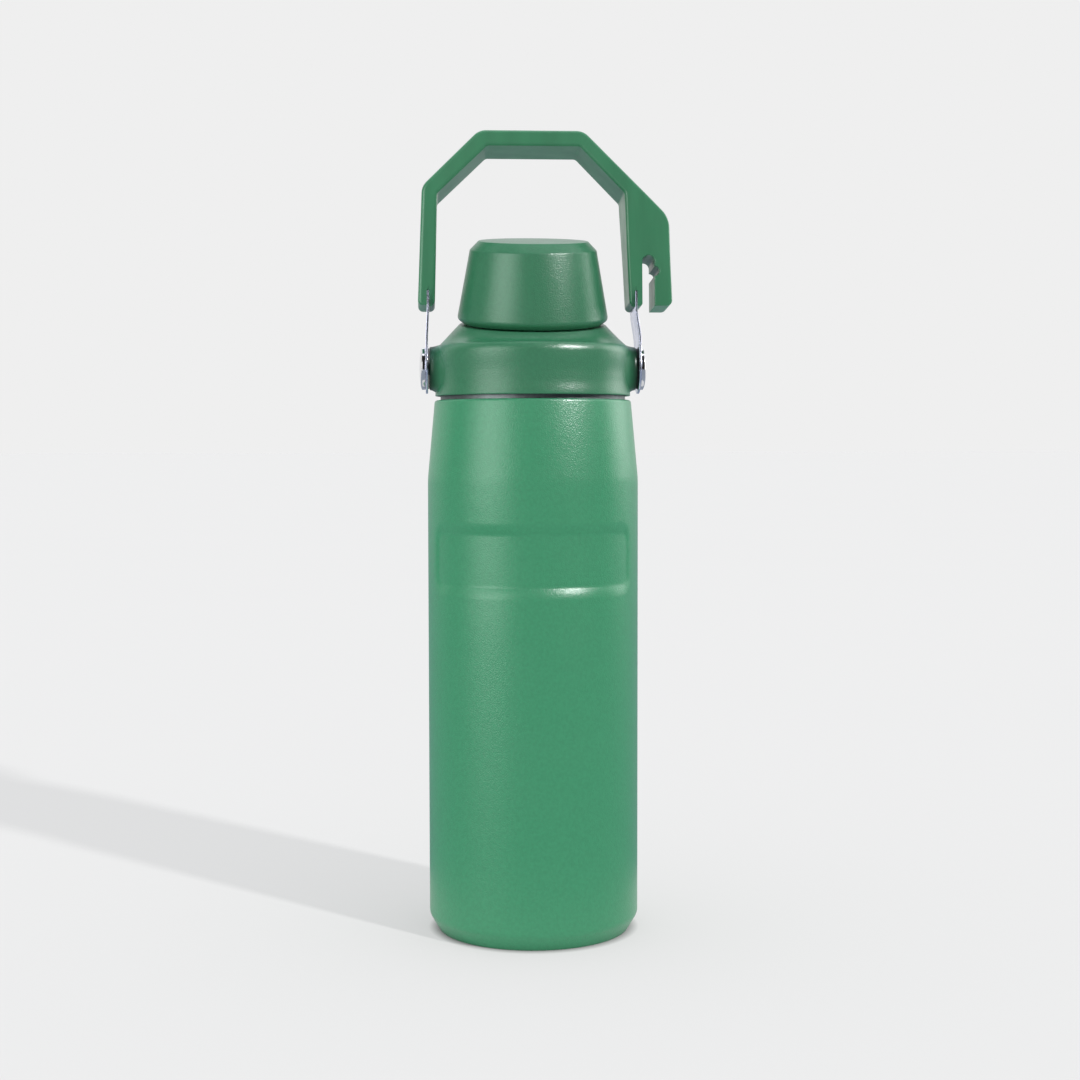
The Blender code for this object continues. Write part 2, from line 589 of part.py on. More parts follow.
# ---------------------------------------------------------------- handle
def make_strap(side, name):
    """A steel strap: an eyelet round the pivot, and a narrower tang that the grip is moulded over."""
    foot_angle = math.degrees(math.acos(STRAP_HALF_WIDTH / EYELET_RADIUS))
    outline = arc((0.0, 0.0), (EYELET_RADIUS, EYELET_RADIUS), 180.0 - foot_angle, 360.0 + foot_angle, 16)
    outline += rounded([(STRAP_HALF_WIDTH, STRAP_SHOULDER, 0.0), (TANG_HALF_WIDTH, STRAP_SHOULDER, 0.0),
                        (TANG_HALF_WIDTH, TANG_END, 0.0), (-TANG_HALF_WIDTH, TANG_END, 0.0),
                        (-TANG_HALF_WIDTH, STRAP_SHOULDER, 0.0), (-STRAP_HALF_WIDTH, STRAP_SHOULDER, 0.0)])
    upright = Matrix(((0, 0, 1, 0), (1, 0, 0, 0), (0, 1, 0, 0), (0, 0, 0, 1)))
    hole = circle((0.0, 0.0), SHANK_RADIUS + GAP, 20)
    strap = flat_piece("strap_" + name, [outline, hole], STRAP_THICKNESS / 2, upright, BRUSHED_STEEL,
                       HANDLE_PIVOT)
    cut_across(strap.data, STRAP_JOG_SPAN)
    for vertex in strap.data.vertices:
        jog = STRAP_JOG[name] * ramp(vertex.co.z, STRAP_JOG_SPAN)
        vertex.co.x += side * (STRAP_OUTER_FACE - STRAP_THICKNESS / 2 - jog)


def grip_corners():
    """The grip's outline, seen from the front: (x, length from the pivot, corner radius)."""
    outer = [(-0.0413, LEG_END, 0.0010), (-0.0397, 0.0639, 0.0060), (-0.0192, 0.0841, 0.0060)]
    outer += [(0.0181, 0.0841, 0.0060), (0.0488, 0.0533, 0.0040), (0.0500, LEG_SHOULDER, 0.0)]
    outer += [(0.0478, LEG_END, 0.0)]
    inner = [(0.0345, LEG_END, 0.0006), (0.0327, 0.0619, 0.0020), (0.0167, 0.0785, 0.0020)]
    inner += [(-0.0163, 0.0785, 0.0020), (-0.0342, 0.0613, 0.0020), (-0.0352, LEG_END, 0.0006)]
    return outer + inner


def make_grip():
    """The moulded grip: an eight-sided bow with two legs, and a cord hook in the right one."""
    upright = Matrix.Rotation(math.pi / 2, 4, "X")
    grip = flat_piece("handle_grip", [rounded(grip_corners())], GRIP_TOP_HALF_DEPTH, upright, GRIP_PLASTIC,
                      HANDLE_PIVOT)
    cut_across(grip.data, GRIP_TAPER_SPAN)
    narrowest = GRIP_LEG_HALF_DEPTH / GRIP_TOP_HALF_DEPTH
    for vertex in grip.data.vertices:
        vertex.co.y *= narrowest + (1.0 - narrowest) * ramp(vertex.co.z, GRIP_TAPER_SPAN)

    edges = grip.modifiers.new("Edges", "BEVEL")
    edges.width = GRIP_EDGE
    edges.segments = 1
    edges.limit_method = "ANGLE"
    edges.angle_limit = math.radians(50.0)

    channel_middle = (HOOK_CHANNEL[0] + HOOK_CHANNEL[1]) / 2
    channel_radius = (HOOK_CHANNEL[1] - HOOK_CHANNEL[0]) / 2
    end = arc((channel_middle, HOOK_END_HEIGHT), (channel_radius, channel_radius), 0.0, 180.0, 8)
    channel = end + [(HOOK_CHANNEL[0], LEG_END - REACH), (HOOK_CHANNEL[1], LEG_END - REACH)]
    boolean(grip, flat_piece("hook_channel", [channel], REACH, upright, parent=HANDLE_PIVOT))
    lobe = circle(HOOK_SIDE_LOBE[:2], HOOK_SIDE_LOBE[2], 16)
    boolean(grip, flat_piece("hook_side_lobe", [lobe], REACH, upright, parent=HANDLE_PIVOT))

    for side, name in SIDES:
        middle = side * (STRAP_OUTER_FACE - STRAP_THICKNESS / 2 - STRAP_JOG[name])
        inner = middle - STRAP_THICKNESS / 2 - GAP
        outer = middle + STRAP_THICKNESS / 2 + GAP
        boolean(grip, box("strap_notch_" + name, (inner, -REACH, LEG_END - REACH),
                          (outer, REACH, STRAP_SHOULDER + GAP), HANDLE_PIVOT))
        boolean(grip, box("tang_pocket_" + name, (inner, -TANG_HALF_WIDTH - GAP, LEG_END - REACH),
                          (outer, TANG_HALF_WIDTH + GAP, TANG_END + GAP), HANDLE_PIVOT))


# ---------------------------------------------------------------- cap
def make_cap():
    """The screw cap: an outer cover, a threaded liner, foam between them, and a gasket for the spout."""
    ceiling = CAP_TOP[1] - CAP_WALL
    profile = [(0.0, CAP_TOP[1]), CAP_TOP, CAP_SHOULDER, CAP_WIDEST, (CAP_BOTTOM_RADIUS, CAP_BOTTOM)]
    profile += [(CAP_LIP_INNER_RADIUS, CAP_BOTTOM), (CAP_LIP_INNER_RADIUS, CAP_BOTTOM + CAP_LIP_HEIGHT)]
    profile += [(CAP_WIDEST[0] - CAP_WALL, CAP_WIDEST[1] + CAP_WALL / 2)]
    profile += [(CAP_SHOULDER[0] - CAP_WALL, CAP_SHOULDER[1] - CAP_WALL / 2)]
    profile += [(CAP_TOP[0] - CAP_WALL / 2, ceiling), (0.0, ceiling)]
    turned("cap_shell", profile, LID_PLASTIC, CAP_AXIS)

    flange_bottom = CAP_BOTTOM + GAP
    flange_top = flange_bottom + LINER_FLANGE_THICKNESS
    liner_ceiling = SPOUT_HEIGHT + CAP_GASKET_THICKNESS + 2 * GAP
    liner_top = liner_ceiling + CAP_WALL
    profile = [(0.0, liner_top), (LINER_RADIUS - EDGE, liner_top), (LINER_RADIUS, liner_top - EDGE)]
    profile += [(LINER_RADIUS, flange_top), (CAP_LIP_INNER_RADIUS - GAP, flange_top)]
    profile += [(CAP_LIP_INNER_RADIUS - GAP, flange_bottom), (LINER_INNER_RADIUS, flange_bottom)]
    profile += [(LINER_INNER_RADIUS, liner_ceiling), (0.0, liner_ceiling)]
    liner = turned("cap_liner", profile, PLUG_PLASTIC, CAP_AXIS)
    rib = add_thread(liner, LINER_INNER_RADIUS, LINER_INNER_RADIUS - CAP_RIB_DEPTH,
                     SPOUT_RIB_HEIGHT - LEAD / 2)
    rib.parent = CAP_AXIS

    foam_radius = CAP_TOP[0] - CAP_WALL / 2 - GAP
    rod("cap_foam", foam_radius, (liner_top + GAP, ceiling - GAP), FOAM, CAP_AXIS, segments=32)
    ring("cap_gasket", (SPOUT_BORE_RADIUS, LINER_INNER_RADIUS - GAP),
         (SPOUT_HEIGHT + GAP, SPOUT_HEIGHT + GAP + CAP_GASKET_THICKNESS), SILICONE, CAP_AXIS)


# ---------------------------------------------------------------- assembly
SIDES = ((1, "right"), (-1, "left"))
STRAP_OUTER_FACE = EAR_FACE + WASHER_THICKNESS + STRAP_THICKNESS + 2 * GAP
HANDLE_PIVOT = new_empty("handle_pivot", (0.0, 0.0, PIVOT_HEIGHT), -HANDLE_LEAN)
CAP_AXIS = new_empty("cap_axis", (0.0, 0.0, COLLAR_TOP_HEIGHT), SPOUT_LEAN)

make_outer_shell()
make_inner_vessel()
make_base()
make_collar()
make_plug()
make_lid_inside()
make_pivots()
for strap_side, strap_name in SIDES:
    make_strap(strap_side, strap_name)
make_grip()
make_cap()
set_smooth()
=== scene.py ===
"""Looks of the vacuum flask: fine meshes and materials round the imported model, on a pale floor in soft light.

Lengths are in metres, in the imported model's frame: +Z is up, +X points to the handle's cord hook, and -Y is
the front. Heights are above the floor, but the handle's are above its pivot, and the cap's and the spout's
are along their own leaning axis, from the deck. A turned profile is a list of (radius, height).
"""

import json
import math

import bmesh
import bpy
from mathutils import Matrix, Vector


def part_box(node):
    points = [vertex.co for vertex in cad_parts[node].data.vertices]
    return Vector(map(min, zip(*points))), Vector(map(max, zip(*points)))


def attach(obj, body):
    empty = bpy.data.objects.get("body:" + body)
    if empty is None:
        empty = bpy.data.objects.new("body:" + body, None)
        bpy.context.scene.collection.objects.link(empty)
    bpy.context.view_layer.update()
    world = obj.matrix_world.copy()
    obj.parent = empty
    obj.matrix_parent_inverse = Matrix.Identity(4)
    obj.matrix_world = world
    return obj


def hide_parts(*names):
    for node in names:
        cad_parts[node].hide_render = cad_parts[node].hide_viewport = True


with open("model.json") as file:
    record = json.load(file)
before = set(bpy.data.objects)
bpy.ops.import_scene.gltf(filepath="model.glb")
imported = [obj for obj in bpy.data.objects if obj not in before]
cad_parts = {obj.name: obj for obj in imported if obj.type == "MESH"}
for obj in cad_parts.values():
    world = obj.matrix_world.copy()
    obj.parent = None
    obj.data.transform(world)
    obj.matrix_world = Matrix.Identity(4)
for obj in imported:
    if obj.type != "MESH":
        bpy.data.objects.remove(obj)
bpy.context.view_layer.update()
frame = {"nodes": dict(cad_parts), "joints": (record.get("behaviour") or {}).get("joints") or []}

# ---------------------------------------------------------------- places, from the frame
JOINTS = {joint["name"]: joint for joint in frame["joints"]}
PIVOT = Vector(JOINTS["handle_swing"]["pos_m"])
DECK = Vector(JOINTS["cap_turn"]["pos_m"])
CAP_LEAN = math.acos(JOINTS["cap_turn"]["axis"][2])
CAP_FRAME = Matrix.Translation(DECK) @ Matrix.Rotation(CAP_LEAN, 4, "X")
HANDLE_LEAN = math.radians(4.5)
HANDLE_FRAME = Matrix.Translation(PIVOT) @ Matrix.Rotation(-HANDLE_LEAN, 4, "X")
SIDES = ((1, "right"), (-1, "left"))

# ---------------------------------------------------------------- driving dimensions, close to the model's
GAP = 0.0003
SEGMENTS = 128                    # sides of a turned piece
BODY_SEGMENTS = 240
SHARP_ANGLE = math.radians(40.0)  # an edge that turns by more than this is shaded sharp

BODY_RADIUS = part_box("outer_shell")[1].x
BODY_TOP_RADIUS = 0.0354          # of the cone's upper end
BODY_TOP_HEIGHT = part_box("outer_shell")[1].z
MOUTH_RADIUS = 0.0336
CONE_START_HEIGHT = 0.1640
FOOT_TURN_HEIGHT = 0.0058         # where the wall's line and the foot's slope would meet
FOOT_RADIUS = 0.03445
FOOT_INNER_RADIUS = 0.0332
SHEET = 0.0007

PANEL_MIDDLE = 0.1360
PANEL_HALF_HEIGHT = 0.0091        # of the flat floor
PANEL_HALF_WIDTH = math.radians(60.5)
PANEL_TURN = math.radians(-93.75)
PANEL_SLOPE = 0.0043
PANEL_DEPTH = 0.0013
PANEL_CORNER = 0.0030

NECK_RADIUS = 0.0333
NECK_WALL = 0.0012
NECK_TOP_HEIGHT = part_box("inner_vessel")[1].z
NECK_START_HEIGHT = 0.1870
VESSEL_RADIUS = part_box("inner_vessel")[1].x
VESSEL_BOTTOM_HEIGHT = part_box("inner_vessel")[0].z
VESSEL_SHOULDER_HEIGHT = 0.1620
VESSEL_WALL = 0.0006

LEAD = 0.0050                     # how far a thread rises in one turn
RIB_TURNS = 1.25
RIB_SEGMENTS = 96                 # of one turn
RIB_BURIED, RIB_ROOT, RIB_EDGE, RIB_CREST = 0.0008, 0.00065, 0.0004, 0.00022    # half widths of its section
RIB_CHAMFER = 0.0001
NECK_RIB_HEIGHT = 0.1890
SPOUT_RIB_HEIGHT = 0.0050
LID_RIB_DEPTH = 0.00075
CAP_RIB_DEPTH = 0.0009

COLLAR_RADIUS = 0.0352
COLLAR_BOTTOM_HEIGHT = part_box("lid_collar")[0].z
COLLAR_SHOULDER_HEIGHT = 0.2086
COLLAR_SHOULDER_ROUNDING = 0.0040
COLLAR_TOP_RADIUS = 0.0264
COLLAR_WALL = 0.0019
COLLAR_DECK = 0.0024
SKIRT_INNER_RADIUS = 0.0337
SKIRT_TOP_HEIGHT = 0.1978
DECK_HOLE_RADIUS = 0.0185
WAIST_DEPTH = 0.0005              # how far the band draws in between its shoulder and its foot

EAR_RADIUS = 0.0078
EAR_FACE = 0.0372
EAR_FLARE = (0.0142, 0.0086)      # half the width and height of an ear's foot on the collar
EAR_FLARE_START = 0.0367
PLAY = 0.00004                    # between the pieces on a pivot
WASHER_THICKNESS = 0.0005
WASHER_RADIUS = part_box("pivot_washer_right")[1].y
STRAP_THICKNESS = 0.0008
STRAP_OUTER_FACE = EAR_FACE + WASHER_THICKNESS + STRAP_THICKNESS + 2 * PLAY
RIVET_HEAD_RADIUS = 0.0076
RIVET_HEAD_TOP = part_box("pivot_rivet_right")[1].x
RIVET_HEAD_DOME = 0.0010
SHANK_RADIUS = 0.0022
SHANK_END = 0.0339

EYELET_RADIUS = 0.0090
STRAP_HALF_WIDTH = 0.0086
STRAP_SHOULDER = 0.0280
SLOT_TOP = 0.0268
TANG_HALF_WIDTH = 0.0060
TANG_END = 0.0440
STRAP_JOG = {"right": 0.0013, "left": 0.0005}
STRAP_JOG_SPAN = (0.0095, 0.0215)

LEG_END = 0.0217
LEG_HALF_DEPTH = 0.00875
BOW_HALF_DEPTH = 0.01125
GRIP_TAPER_SPAN = (0.0340, 0.0620)
HOOK_CHANNEL = (0.0391, 0.0435)
HOOK_END_HEIGHT = 0.0377
HOOK_LOBE_HEIGHT = 0.0342
HOOK_LOBE_RADIUS = 0.00175
HOOK_ROUNDING = 0.00035
HOOK_MOUTH_ROUNDING = 0.0010
RAMP_DEPTH = 0.0028
RAMP_TOP = 0.0290
RAMP_WIDTH = 0.0017
CUTTER_MARGIN = 0.0020            # how far a cutter stands out of what it cuts

# The grip's outline seen from the front, clockwise from the left leg's outer corner. Each corner has its X,
# its height, its radius, and the rounding of the side after it, front and back.
OUTER, INNER, END = 0.0015, 0.0012, 0.0005
GRIP_CORNERS = [
    (-0.0413, LEG_END, 0.0018, OUTER), (-0.0397, 0.0639, 0.0060, OUTER), (-0.0192, 0.0841, 0.0060, OUTER),
    (0.0181, 0.0841, 0.0060, OUTER), (0.0488, 0.0533, 0.0090, OUTER), (0.0500, LEG_END, 0.0022, END),
    (0.0345, LEG_END, 0.0018, INNER), (0.0327, 0.0619, 0.0020, INNER), (0.0167, 0.0785, 0.0020, INNER),
    (-0.0163, 0.0785, 0.0020, INNER), (-0.0342, 0.0613, 0.0020, INNER), (-0.0352, LEG_END, 0.0018, END),
]
GRIP_ROUNDING_DEPTH = 0.0014

SPOUT_RADIUS = 0.0172
SPOUT_BORE_RADIUS = 0.0140
SPOUT_HEIGHT = 0.0150
PLUG_RADIUS = 0.0310
PLUG_WALL = 0.0020
PLUG_BOTTOM_HEIGHT = 0.1830
FLANGE_RADIUS = 0.0330
FLANGE_HEIGHTS = (0.1980, 0.2004)

CAP_BOTTOM = 0.0004
CAP_TOP = (0.0196, 0.0299)
CAP_SHOULDER = (0.0227, 0.0267)
CAP_WIDEST = (0.0272, 0.0023)
CAP_FOOT_RADIUS = 0.0248
CAP_LIP_RADIUS = 0.0239
CAP_WALL = 0.0018
LINER_RADIUS = 0.0206
LINER_INNER_RADIUS = 0.01845
LINER_CEILING = 0.0168

# ---------------------------------------------------------------- studio
AIM = Vector((0.0, 0.0, 0.15))    # the middle of the flask, which the lights point at
BACKDROP = (0.863, 0.863, 0.863)
OVERHEAD = (1.55, 1.60, 1.68)
FLOOR_COLOUR = (0.249, 0.246, 0.242)
FLOOR_GLOW = 0.433                # brings the floor up to the backdrop
# painted contact shadow: the floor's glow fades out between these distances from the foot's axis
PAINTED_SHADOW_SPAN = (0.0335, 0.0385)     # the distances between which the glow sets in round the foot
CURTAIN_RADIUS = 2.0
CARPET_RADII = (0.10, 6.0)
CARPET_HEIGHT = 0.0005


# ---------------------------------------------------------------- modelling helpers
def arc(centre, radii, start, end, steps):
    """Points on an arc of a circle or ellipse; angles are in degrees."""
    points = []
    for step in range(steps + 1):
        angle = math.radians(start + (end - start) * step / steps)
        points.append((centre[0] + radii[0] * math.cos(angle), centre[1] + radii[1] * math.sin(angle)))
    return points


def rounded(corners, steps=5, closed=False):
    """Turn a list of (x, y, radius) corners into points whose corners are arcs."""
    points = []
    last_index = len(corners) - 1
    for index, (x, y, radius) in enumerate(corners):
        if radius == 0.0 or (not closed and index in (0, last_index)):
            points.append((x, y))
            continue
        corner = Vector((x, y))
        before = (Vector(corners[index - 1][:2]) - corner).normalized()
        after = (Vector(corners[(index + 1) % len(corners)][:2]) - corner).normalized()
        half_angle = before.angle(after) / 2
        centre = corner + (before + after).normalized() * radius / math.sin(half_angle)
        first = corner + before * radius / math.tan(half_angle) - centre
        last = corner + after * radius / math.tan(half_angle) - centre
        turn = first.angle_signed(last)
        for step in range(steps + 1):
            spoke = first.copy()
            spoke.rotate(Matrix.Rotation(-turn * step / steps, 2))
            points.append(tuple(centre + spoke))
    return points


def smooth_step(value, start, end):
    """0 before start, 1 after end, and a smooth turn between."""
    share = min(max((value - start) / (end - start), 0.0), 1.0)
    return share * share * (3.0 - 2.0 * share)


def turned(profile, segments=SEGMENTS, ring=False):
    """Turn a profile that runs down its outer side about Z. ring joins its last point to its first."""
    bm = bmesh.new()
    rows = []
    for radius, height in profile:
        if radius == 0.0:
            rows.append([bm.verts.new((0.0, 0.0, height))] * segments)
            continue
        angles = [math.tau * index / segments for index in range(segments)]
        rows.append([bm.verts.new((radius * math.cos(a), radius * math.sin(a), height)) for a in angles])
    pairs = list(zip(rows, rows[1:]))
    if ring:
        pairs.append((rows[-1], rows[0]))
    for upper, lower in pairs:
        for index in range(segments):
            after = (index + 1) % segments
            corners = [upper[index], lower[index], lower[after], upper[after]]
            bm.faces.new(list(dict.fromkeys(corners)))
    return bm


def bridge(bm, rings):
    """Add the faces between rings that have the same number of vertices."""
    for one, other in zip(rings, rings[1:]):
        for index in range(len(one)):
            after = (index + 1) % len(one)
            bm.faces.new((one[index], one[after], other[after], other[index]))


def add_rib(bm, root_radius, crest_radius, first_height):
    """Add a right-hand helical thread rib to a mesh. It fades out of the wall at both ends."""
    outwards = 1.0 if crest_radius > root_radius else -1.0
    buried_radius = root_radius - outwards * GAP
    steps = round(RIB_TURNS * RIB_SEGMENTS)
    fade = RIB_SEGMENTS / 12
    rings = []
    for step in range(steps + 1):
        angle = math.tau * step / RIB_SEGMENTS
        height = first_height + LEAD * step / RIB_SEGMENTS
        share = smooth_step(min(step, steps - step), 0.0, fade)
        crest = root_radius + (crest_radius - root_radius) * share
        half = [(buried_radius, RIB_BURIED), (root_radius, RIB_ROOT),
                (crest - outwards * RIB_CHAMFER, RIB_EDGE), (crest, RIB_CREST)]
        section = [(radius, -rise) for radius, rise in half] + half[::-1]
        rings.append([bm.verts.new((radius * math.cos(angle), radius * math.sin(angle), height + rise))
                      for radius, rise in section])
    bridge(bm, rings)
    bm.faces.new(rings[0])
    bm.faces.new(list(reversed(rings[-1])))


def plate(outline, low, high):
    """A flat plate from an outline in X and Z, between two Y."""
    bm = bmesh.new()
    face = bm.faces.new([bm.verts.new((x, low, z)) for x, z in outline])
    extruded = bmesh.ops.extrude_face_region(bm, geom=[face])
    moved = [item for item in extruded["geom"] if isinstance(item, bmesh.types.BMVert)]
    bmesh.ops.translate(bm, verts=moved, vec=(0.0, high - low, 0.0))
    return bm


def lofted(rings):
    """A closed mesh through rings that have the same number of points, with both ends capped."""
    bm = bmesh.new()
    rows = [[bm.verts.new(point) for point in ring] for ring in rings]
    bridge(bm, rows)
    bm.faces.new(rows[0])
    bm.faces.new(rows[-1])
    bmesh.ops.recalc_face_normals(bm, faces=bm.faces)
    return bm


def slice_level(bm, height):
    """Add the edges where a level plane crosses a mesh."""
    bmesh.ops.bisect_plane(bm, geom=[*bm.verts, *bm.edges, *bm.faces], plane_co=(0.0, 0.0, height),
                           plane_no=(0.0, 0.0, 1.0))


def link_mesh(name, bm):
    """Make an object in the scene from a mesh."""
    mesh = bpy.data.meshes.new(name)
    bm.to_mesh(mesh)
    bm.free()
    obj = bpy.data.objects.new(name, mesh)
    bpy.context.scene.collection.objects.link(obj)
    return obj


def cut(bm, cutter_bm):
    """A mesh with another one cut out of it."""
    bmesh.ops.recalc_face_normals(cutter_bm, faces=cutter_bm.faces)
    solid = link_mesh("solid", bm)
    cutter = link_mesh("cutter", cutter_bm)
    boolean = solid.modifiers.new("cut", "BOOLEAN")
    boolean.object = cutter
    boolean.operation = "DIFFERENCE"
    evaluated = solid.evaluated_get(bpy.context.evaluated_depsgraph_get())
    result = bmesh.new()
    result.from_mesh(evaluated.to_mesh())
    evaluated.to_mesh_clear()
    bpy.data.objects.remove(solid)
    bpy.data.objects.remove(cutter)
    return result


def add_piece(name, bm, material, body, replaced=(), place=None):
    """Make a piece from a mesh, put it in place, hang it on its body, and hide the CAD parts that it replaces.
    """
    bmesh.ops.recalc_face_normals(bm, faces=bm.faces)
    obj = link_mesh(name, bm)
    if place:
        obj.data.transform(place)
    obj.data.shade_smooth()
    obj.data.set_sharp_from_angle(angle=SHARP_ANGLE)
    obj.data.materials.append(material)
    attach(obj, body)
    if replaced:
        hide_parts(*replaced)
    return obj


# ---------------------------------------------------------------- materials
class Shader:
    """A Principled BSDF material, with short ways to add procedural detail to it."""

    def __init__(self, name, colour, roughness, metallic=0.0, specular=0.5):
        self.material = bpy.data.materials.new(name)
        self.material.use_nodes = True
        self.tree = self.material.node_tree
        self.shader = self.tree.nodes["Principled BSDF"]
        self.shader.inputs["Base Color"].default_value = (*colour, 1.0)
        self.shader.inputs["Roughness"].default_value = roughness
        self.shader.inputs["Metallic"].default_value = metallic
        self.shader.inputs["Specular IOR Level"].default_value = specular
        self.coordinates = self.tree.nodes.new("ShaderNodeTexCoord").outputs["Object"]
        self.normal = None

    def noise(self, scale, detail=2.0, stretch=(1.0, 1.0, 1.0)):
        """A noise texture. A stretch above 1 makes its grain finer along that axis."""
        mapping = self.tree.nodes.new("ShaderNodeMapping")
        mapping.inputs["Scale"].default_value = stretch
        texture = self.tree.nodes.new("ShaderNodeTexNoise")
        texture.inputs["Scale"].default_value = scale
        texture.inputs["Detail"].default_value = detail
        self.tree.links.new(self.coordinates, mapping.inputs["Vector"])
        self.tree.links.new(mapping.outputs["Vector"], texture.inputs["Vector"])
        return texture.outputs["Fac"]

    def cells(self, scale):
        """A Voronoi texture's distance from the nearest cell's centre."""
        texture = self.tree.nodes.new("ShaderNodeTexVoronoi")
        texture.inputs["Scale"].default_value = scale
        self.tree.links.new(self.coordinates, texture.inputs["Vector"])
        return texture.outputs["Distance"]

    def spread(self, value, start, end, low=0.0, high=1.0):
        """Map what lies between start and end onto the span from low to high."""
        node = self.tree.nodes.new("ShaderNodeMapRange")
        for socket, number in (("From Min", start), ("From Max", end), ("To Min", low), ("To Max", high)):
            node.inputs[socket].default_value = number
        self.tree.links.new(value, node.inputs["Value"])
        return node.outputs["Result"]

    def reach(self, start, end):
        """How far out in X a point is, on either side, as a share of the way between two distances."""
        split = self.tree.nodes.new("ShaderNodeSeparateXYZ")
        absolute = self.tree.nodes.new("ShaderNodeMath")
        absolute.operation = "ABSOLUTE"
        self.tree.links.new(self.coordinates, split.inputs["Vector"])
        self.tree.links.new(split.outputs["X"], absolute.inputs[0])
        return self.spread(absolute.outputs["Value"], start, end)

    def mottle(self, texture, dark, light, span=(0.35, 0.65)):
        """Vary the base colour between two colours over a texture's span."""
        ramp = self.tree.nodes.new("ShaderNodeValToRGB")
        ramp.color_ramp.elements[0].position = span[0]
        ramp.color_ramp.elements[1].position = span[1]
        ramp.color_ramp.elements[0].color = (*dark, 1.0)
        ramp.color_ramp.elements[1].color = (*light, 1.0)
        self.tree.links.new(texture, ramp.inputs["Fac"])
        self.tree.links.new(ramp.outputs["Color"], self.shader.inputs["Base Color"])

    def vary_roughness(self, texture, low, high):
        """Vary the roughness between two values over a texture."""
        self.tree.links.new(self.spread(texture, 0.3, 0.7, low, high), self.shader.inputs["Roughness"])

    def bump(self, texture, strength, distance):
        """Add a bump, on top of any that is there."""
        bump = self.tree.nodes.new("ShaderNodeBump")
        bump.inputs["Strength"].default_value = strength
        bump.inputs["Distance"].default_value = distance
        self.tree.links.new(texture, bump.inputs["Height"])
        if self.normal:
            self.tree.links.new(self.normal, bump.inputs["Normal"])
        self.normal = bump.outputs["Normal"]
        self.tree.links.new(self.normal, self.shader.inputs["Normal"])


def shades(colour, spread):
    """A slightly darker and a slightly lighter shade of a colour."""
    return [channel * (1.0 - spread) for channel in colour], [channel * (1.0 + spread) for channel in colour]


def powder_coat():
    """Satin powder coat: a fine grain that sparkles in the key box's light, over a faint orange peel."""
    colour = (0.045, 0.300, 0.143)
    paint = Shader("body_paint", colour, 0.32)
    paint.mottle(paint.noise(900.0, 3.0), *shades(colour, 0.05))
    paint.vary_roughness(paint.noise(60.0), 0.31, 0.34)
    paint.bump(paint.noise(300.0), 0.05, 0.0002)
    paint.bump(paint.noise(2300.0, 1.0), 0.50, 0.00017)
    return paint.material


def satin_plastic():
    """The lid's plastic, sprayed in the body's colour: darker, with the same fine grain."""
    colour = (0.037, 0.205, 0.099)
    plastic = Shader("lid_plastic", colour, 0.32)
    plastic.mottle(plastic.noise(900.0, 3.0), *shades(colour, 0.05))
    plastic.vary_roughness(plastic.noise(80.0), 0.31, 0.34)
    plastic.bump(plastic.noise(2300.0, 1.0), 0.50, 0.00017)
    return plastic.material


def ear_plastic():
    """The ears' plastic: darker outwards over each ear, a painted shade for the shade by the rivets and straps.
    """
    band_colour = (0.037, 0.190, 0.092)
    painted_shade_colour = (0.014, 0.060, 0.032)
    plastic = Shader("ear_plastic", painted_shade_colour, 0.33, specular=0.25)
    # painted shade: the colour darkens from the band's colour to a deep green outwards in X over the ear
    plastic.mottle(plastic.reach(0.0335, 0.0368), band_colour, painted_shade_colour, span=(0.0, 1.0))
    plastic.vary_roughness(plastic.noise(300.0, 3.0), 0.28, 0.40)
    plastic.bump(plastic.noise(1600.0, 2.0), 0.15, 0.0001)
    return plastic.material


def grip_plastic():
    """The grip's plastic: smoother, with faint flow marks along the mould."""
    colour = (0.046, 0.228, 0.109)
    plastic = Shader("grip_plastic", colour, 0.34)
    plastic.mottle(plastic.noise(160.0, 4.0, (1.0, 1.0, 0.15)), *shades(colour, 0.07))
    plastic.vary_roughness(plastic.noise(120.0, 3.0), 0.30, 0.38)
    plastic.bump(plastic.noise(1800.0, 2.0), 0.10, 0.0001)
    return plastic.material


def brushed_steel():
    """Stainless steel, brushed round the bottle and along the straps."""
    colour = (0.55, 0.55, 0.58)
    steel = Shader("brushed_steel", colour, 0.30, metallic=1.0)
    steel.mottle(steel.noise(140.0, 4.0, (1.0, 1.0, 30.0)), *shades(colour, 0.10))
    steel.vary_roughness(steel.noise(200.0, 4.0, (1.0, 1.0, 30.0)), 0.24, 0.36)
    steel.bump(steel.noise(180.0, 4.0, (1.0, 1.0, 40.0)), 0.15, 0.00004)
    return steel.material


def rough_steel_painted_shade():
    """The vessel's rough steel, its dark colour a painted shade for the narrow gap under the lid where the neck
    shows.
    """
    # painted shade: a dark base colour for the shade in the gap between the body and the lid
    colour = (0.17, 0.19, 0.19)
    steel = Shader("rough_steel_painted_shade", colour, 0.50, metallic=1.0)
    steel.mottle(steel.noise(500.0, 4.0), *shades(colour, 0.10))
    steel.vary_roughness(steel.noise(300.0, 3.0), 0.45, 0.60)
    steel.bump(steel.noise(3000.0, 2.0), 0.30, 0.00005)
    return steel.material


def strap_steel():
    """The straps' bright rolled steel, with a faint grain along them."""
    colour = (0.62, 0.65, 0.80)
    steel = Shader("strap_steel", colour, 0.22, metallic=1.0)
    steel.mottle(steel.noise(900.0, 4.0, (1.0, 1.0, 0.05)), *shades(colour, 0.08))
    steel.vary_roughness(steel.noise(700.0, 3.0, (1.0, 1.0, 0.05)), 0.18, 0.30)
    steel.bump(steel.noise(1200.0, 3.0, (1.0, 1.0, 0.05)), 0.12, 0.00003)
    return steel.material


